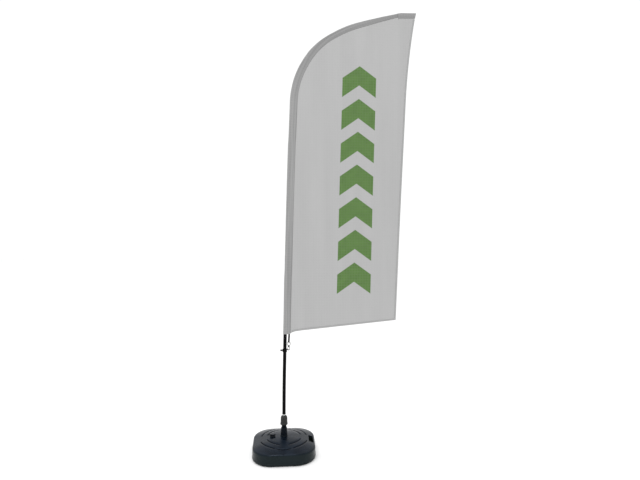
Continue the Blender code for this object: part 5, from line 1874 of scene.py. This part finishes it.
def panelGrid():
    rows = []
    for r in range(flag["rows"] + 1):
        v = (r / flag["rows"])
        v = v * 0.997
        rows.append([panelPoint((c / flag["columns"]) ** 1.15, v) for c in range(flag["columns"] + 1)])
    return rows


grid = panelGrid()
flagPanel = makePiece(
    "flagPanel", slabSkin(grid, flag["fabric"] / 2, lambda r, c: (grid[r][c].x, grid[r][c].z)),
    printedPolyester(), None, 60,
)
fit(flagPanel, "pole", "flag_cloth", "flag_panel")


def hemGrid(spotAt, length, steps):
    rows = []
    for r in range(steps + 1):
        rows.append([spotAt(r / steps, k / 3) for k in range(4)])
    return rows, length / steps


def trailSpot(along, inward):
    v = along * 0.997
    width = (pointAlong(trailEdge, trailRun, v) - pointAlong(seamEdge, seamRun, v)).length
    return panelPoint(max(0.0, 1 - inward * flag["hem"] / max(width, flag["hem"])), v)


def bottomSpot(along, inward):
    u = 0.012 + along * 0.988
    return panelPoint(u, inward * 0.013 / seamRun[-1] * 1.15)


trailGrid, trailStep = hemGrid(trailSpot, trailRun[-1], 220)
trailHem = makePiece(
    "trailingHem", slabSkin(trailGrid, 0.0011, lambda r, c: (r * trailStep, c / 3 * flag["hem"])), hemCloth,
    None, 60,
)
fit(trailHem, "pole", "flag_cloth")
bottomGrid, bottomStep = hemGrid(bottomSpot, bottomRun[-1], 90)
bottomHem = makePiece(
    "bottomHem", slabSkin(bottomGrid, 0.0010, lambda r, c: (r * bottomStep, c / 3 * flag["hem"])), hemCloth,
    None, 60,
)
fit(bottomHem, "pole", "flag_cloth")


def seamTape():
    # The folded seam allowance between sleeve and panel: a thin cord of cloth with its stitch line,
    # its greys painted darker than the panel's, as shade in the seam's crease
    rings, lengths = [], []
    for s in stepsAlong(flag["foot"] + 0.004, flag["pocketFrom"] - 0.001, 0.010):
        point, along, across, lean = poleAt(s)
        centre = point + across * (sleeveReach(s) - 0.0002)
        turns = [math.tau * k / 8 for k in range(8)]
        rings.append([
            centre + across * 0.0021 * math.cos(a) + Vector((0.0, 0.0016 * math.sin(a), 0.0)) for a in turns
        ])
        lengths.append(s)
    bm = skin(rings)
    layer = bm.loops.layers.uv.new("cloth")
    for face in bm.faces:
        for loop in face.loops:
            loop[layer].uv = (loop.vert.co.z, 0.0)
    return bm


# painted shade: the seam tape's greys are darker than the panel cloth
seamCloth = stitchedCloth("seamTape", ("#8e8e8e", "#868686"), "#6f6f6f", (0.0,))
sleeveSeam = makePiece("sleeveSeam", seamTape(), seamCloth, None, 60)
fit(sleeveSeam, "pole", "sleeve_cloth")
print("feather flag: printed panel made")


# Floor, light and camera

studio = {
    "floor": "#fdfdfd", "world": 1.06,
    "keyWatts": 55.0, "keyAt": (-1.5, -3.4, 5.6), "keySize": (2.4, 1.6),
    "stripWatts": 70.0, "stripAt": (-0.35, 0.15, 6.0), "stripSize": (0.9, 0.35),
}


def paintedFloor():
    # Matt white studio paint, with a faint roller texture of 8 mm
    material, tree, shader = newMaterial("paintedFloor", {"Specular IOR Level": 0.1, "Roughness": 0.9})
    place = addNode(tree, "ShaderNodeTexCoord").outputs["Object"]
    roller = addNode(
        tree, "ShaderNodeTexNoise", None, {"Vector": place, "Scale": 1000 / 8, "Detail": 2.0},
    ).outputs[0]
    tree.links.new(
        addNode(
            tree, "ShaderNodeMix", {"data_type": "RGBA"},
            {0: roller, 6: toLinear("#f6f6f6"), 7: toLinear(studio["floor"])},
        ).outputs[2],
        shader.inputs["Base Color"],
    )
    bump = addNode(tree, "ShaderNodeBump", None, {"Strength": 0.05, "Distance": 0.0005, "Height": roller})
    tree.links.new(bump.outputs[0], shader.inputs["Normal"])
    return material


floorSkin = bmesh.new()
bmesh.ops.create_circle(floorSkin, cap_ends=True, radius=40.0, segments=96)
studioFloor = makePiece("studioFloor", floorSkin, paintedFloor())
studioFloor.location.z = -0.0005

world = bpy.data.worlds.new("studioWhite")
world.use_nodes = True
backdrop = world.node_tree.nodes["Background"]
backdrop.inputs["Color"].default_value = toLinear("#ffffff")
backdrop.inputs["Strength"].default_value = studio["world"]
scene.world = world


def softbox(name, spot, aim, size, watts):
    lamp = bpy.data.lights.new(name, "AREA")
    lamp.shape = "RECTANGLE"
    lamp.size, lamp.size_y = size
    lamp.energy = watts
    thing = bpy.data.objects.new(name, lamp)
    thing.location = spot
    thing.rotation_euler = (Vector(aim) - Vector(spot)).to_track_quat("-Z", "Y").to_euler()
    scene.collection.objects.link(thing)


softbox("keySoftbox", studio["keyAt"], (0.1, 0.0, 0.9), studio["keySize"], studio["keyWatts"])
softbox("stripSoftbox", studio["stripAt"], (-0.1, 0.0, 0.1), studio["stripSize"], studio["stripWatts"])

lens = bpy.data.cameras.new("camera")
lens.sensor_width = 36.0
lens.lens = 25.1
lens.clip_end = 200.0
camera = bpy.data.objects.new("camera", lens)
camera.location = (0.0, -3.130, 1.479)
camera.rotation_euler = (math.radians(90.0), 0.0, math.radians(-4.61))
scene.collection.objects.link(camera)
scene.camera = camera
bpy.context.view_layer.update()
print("feather flag: floor, light and camera set")
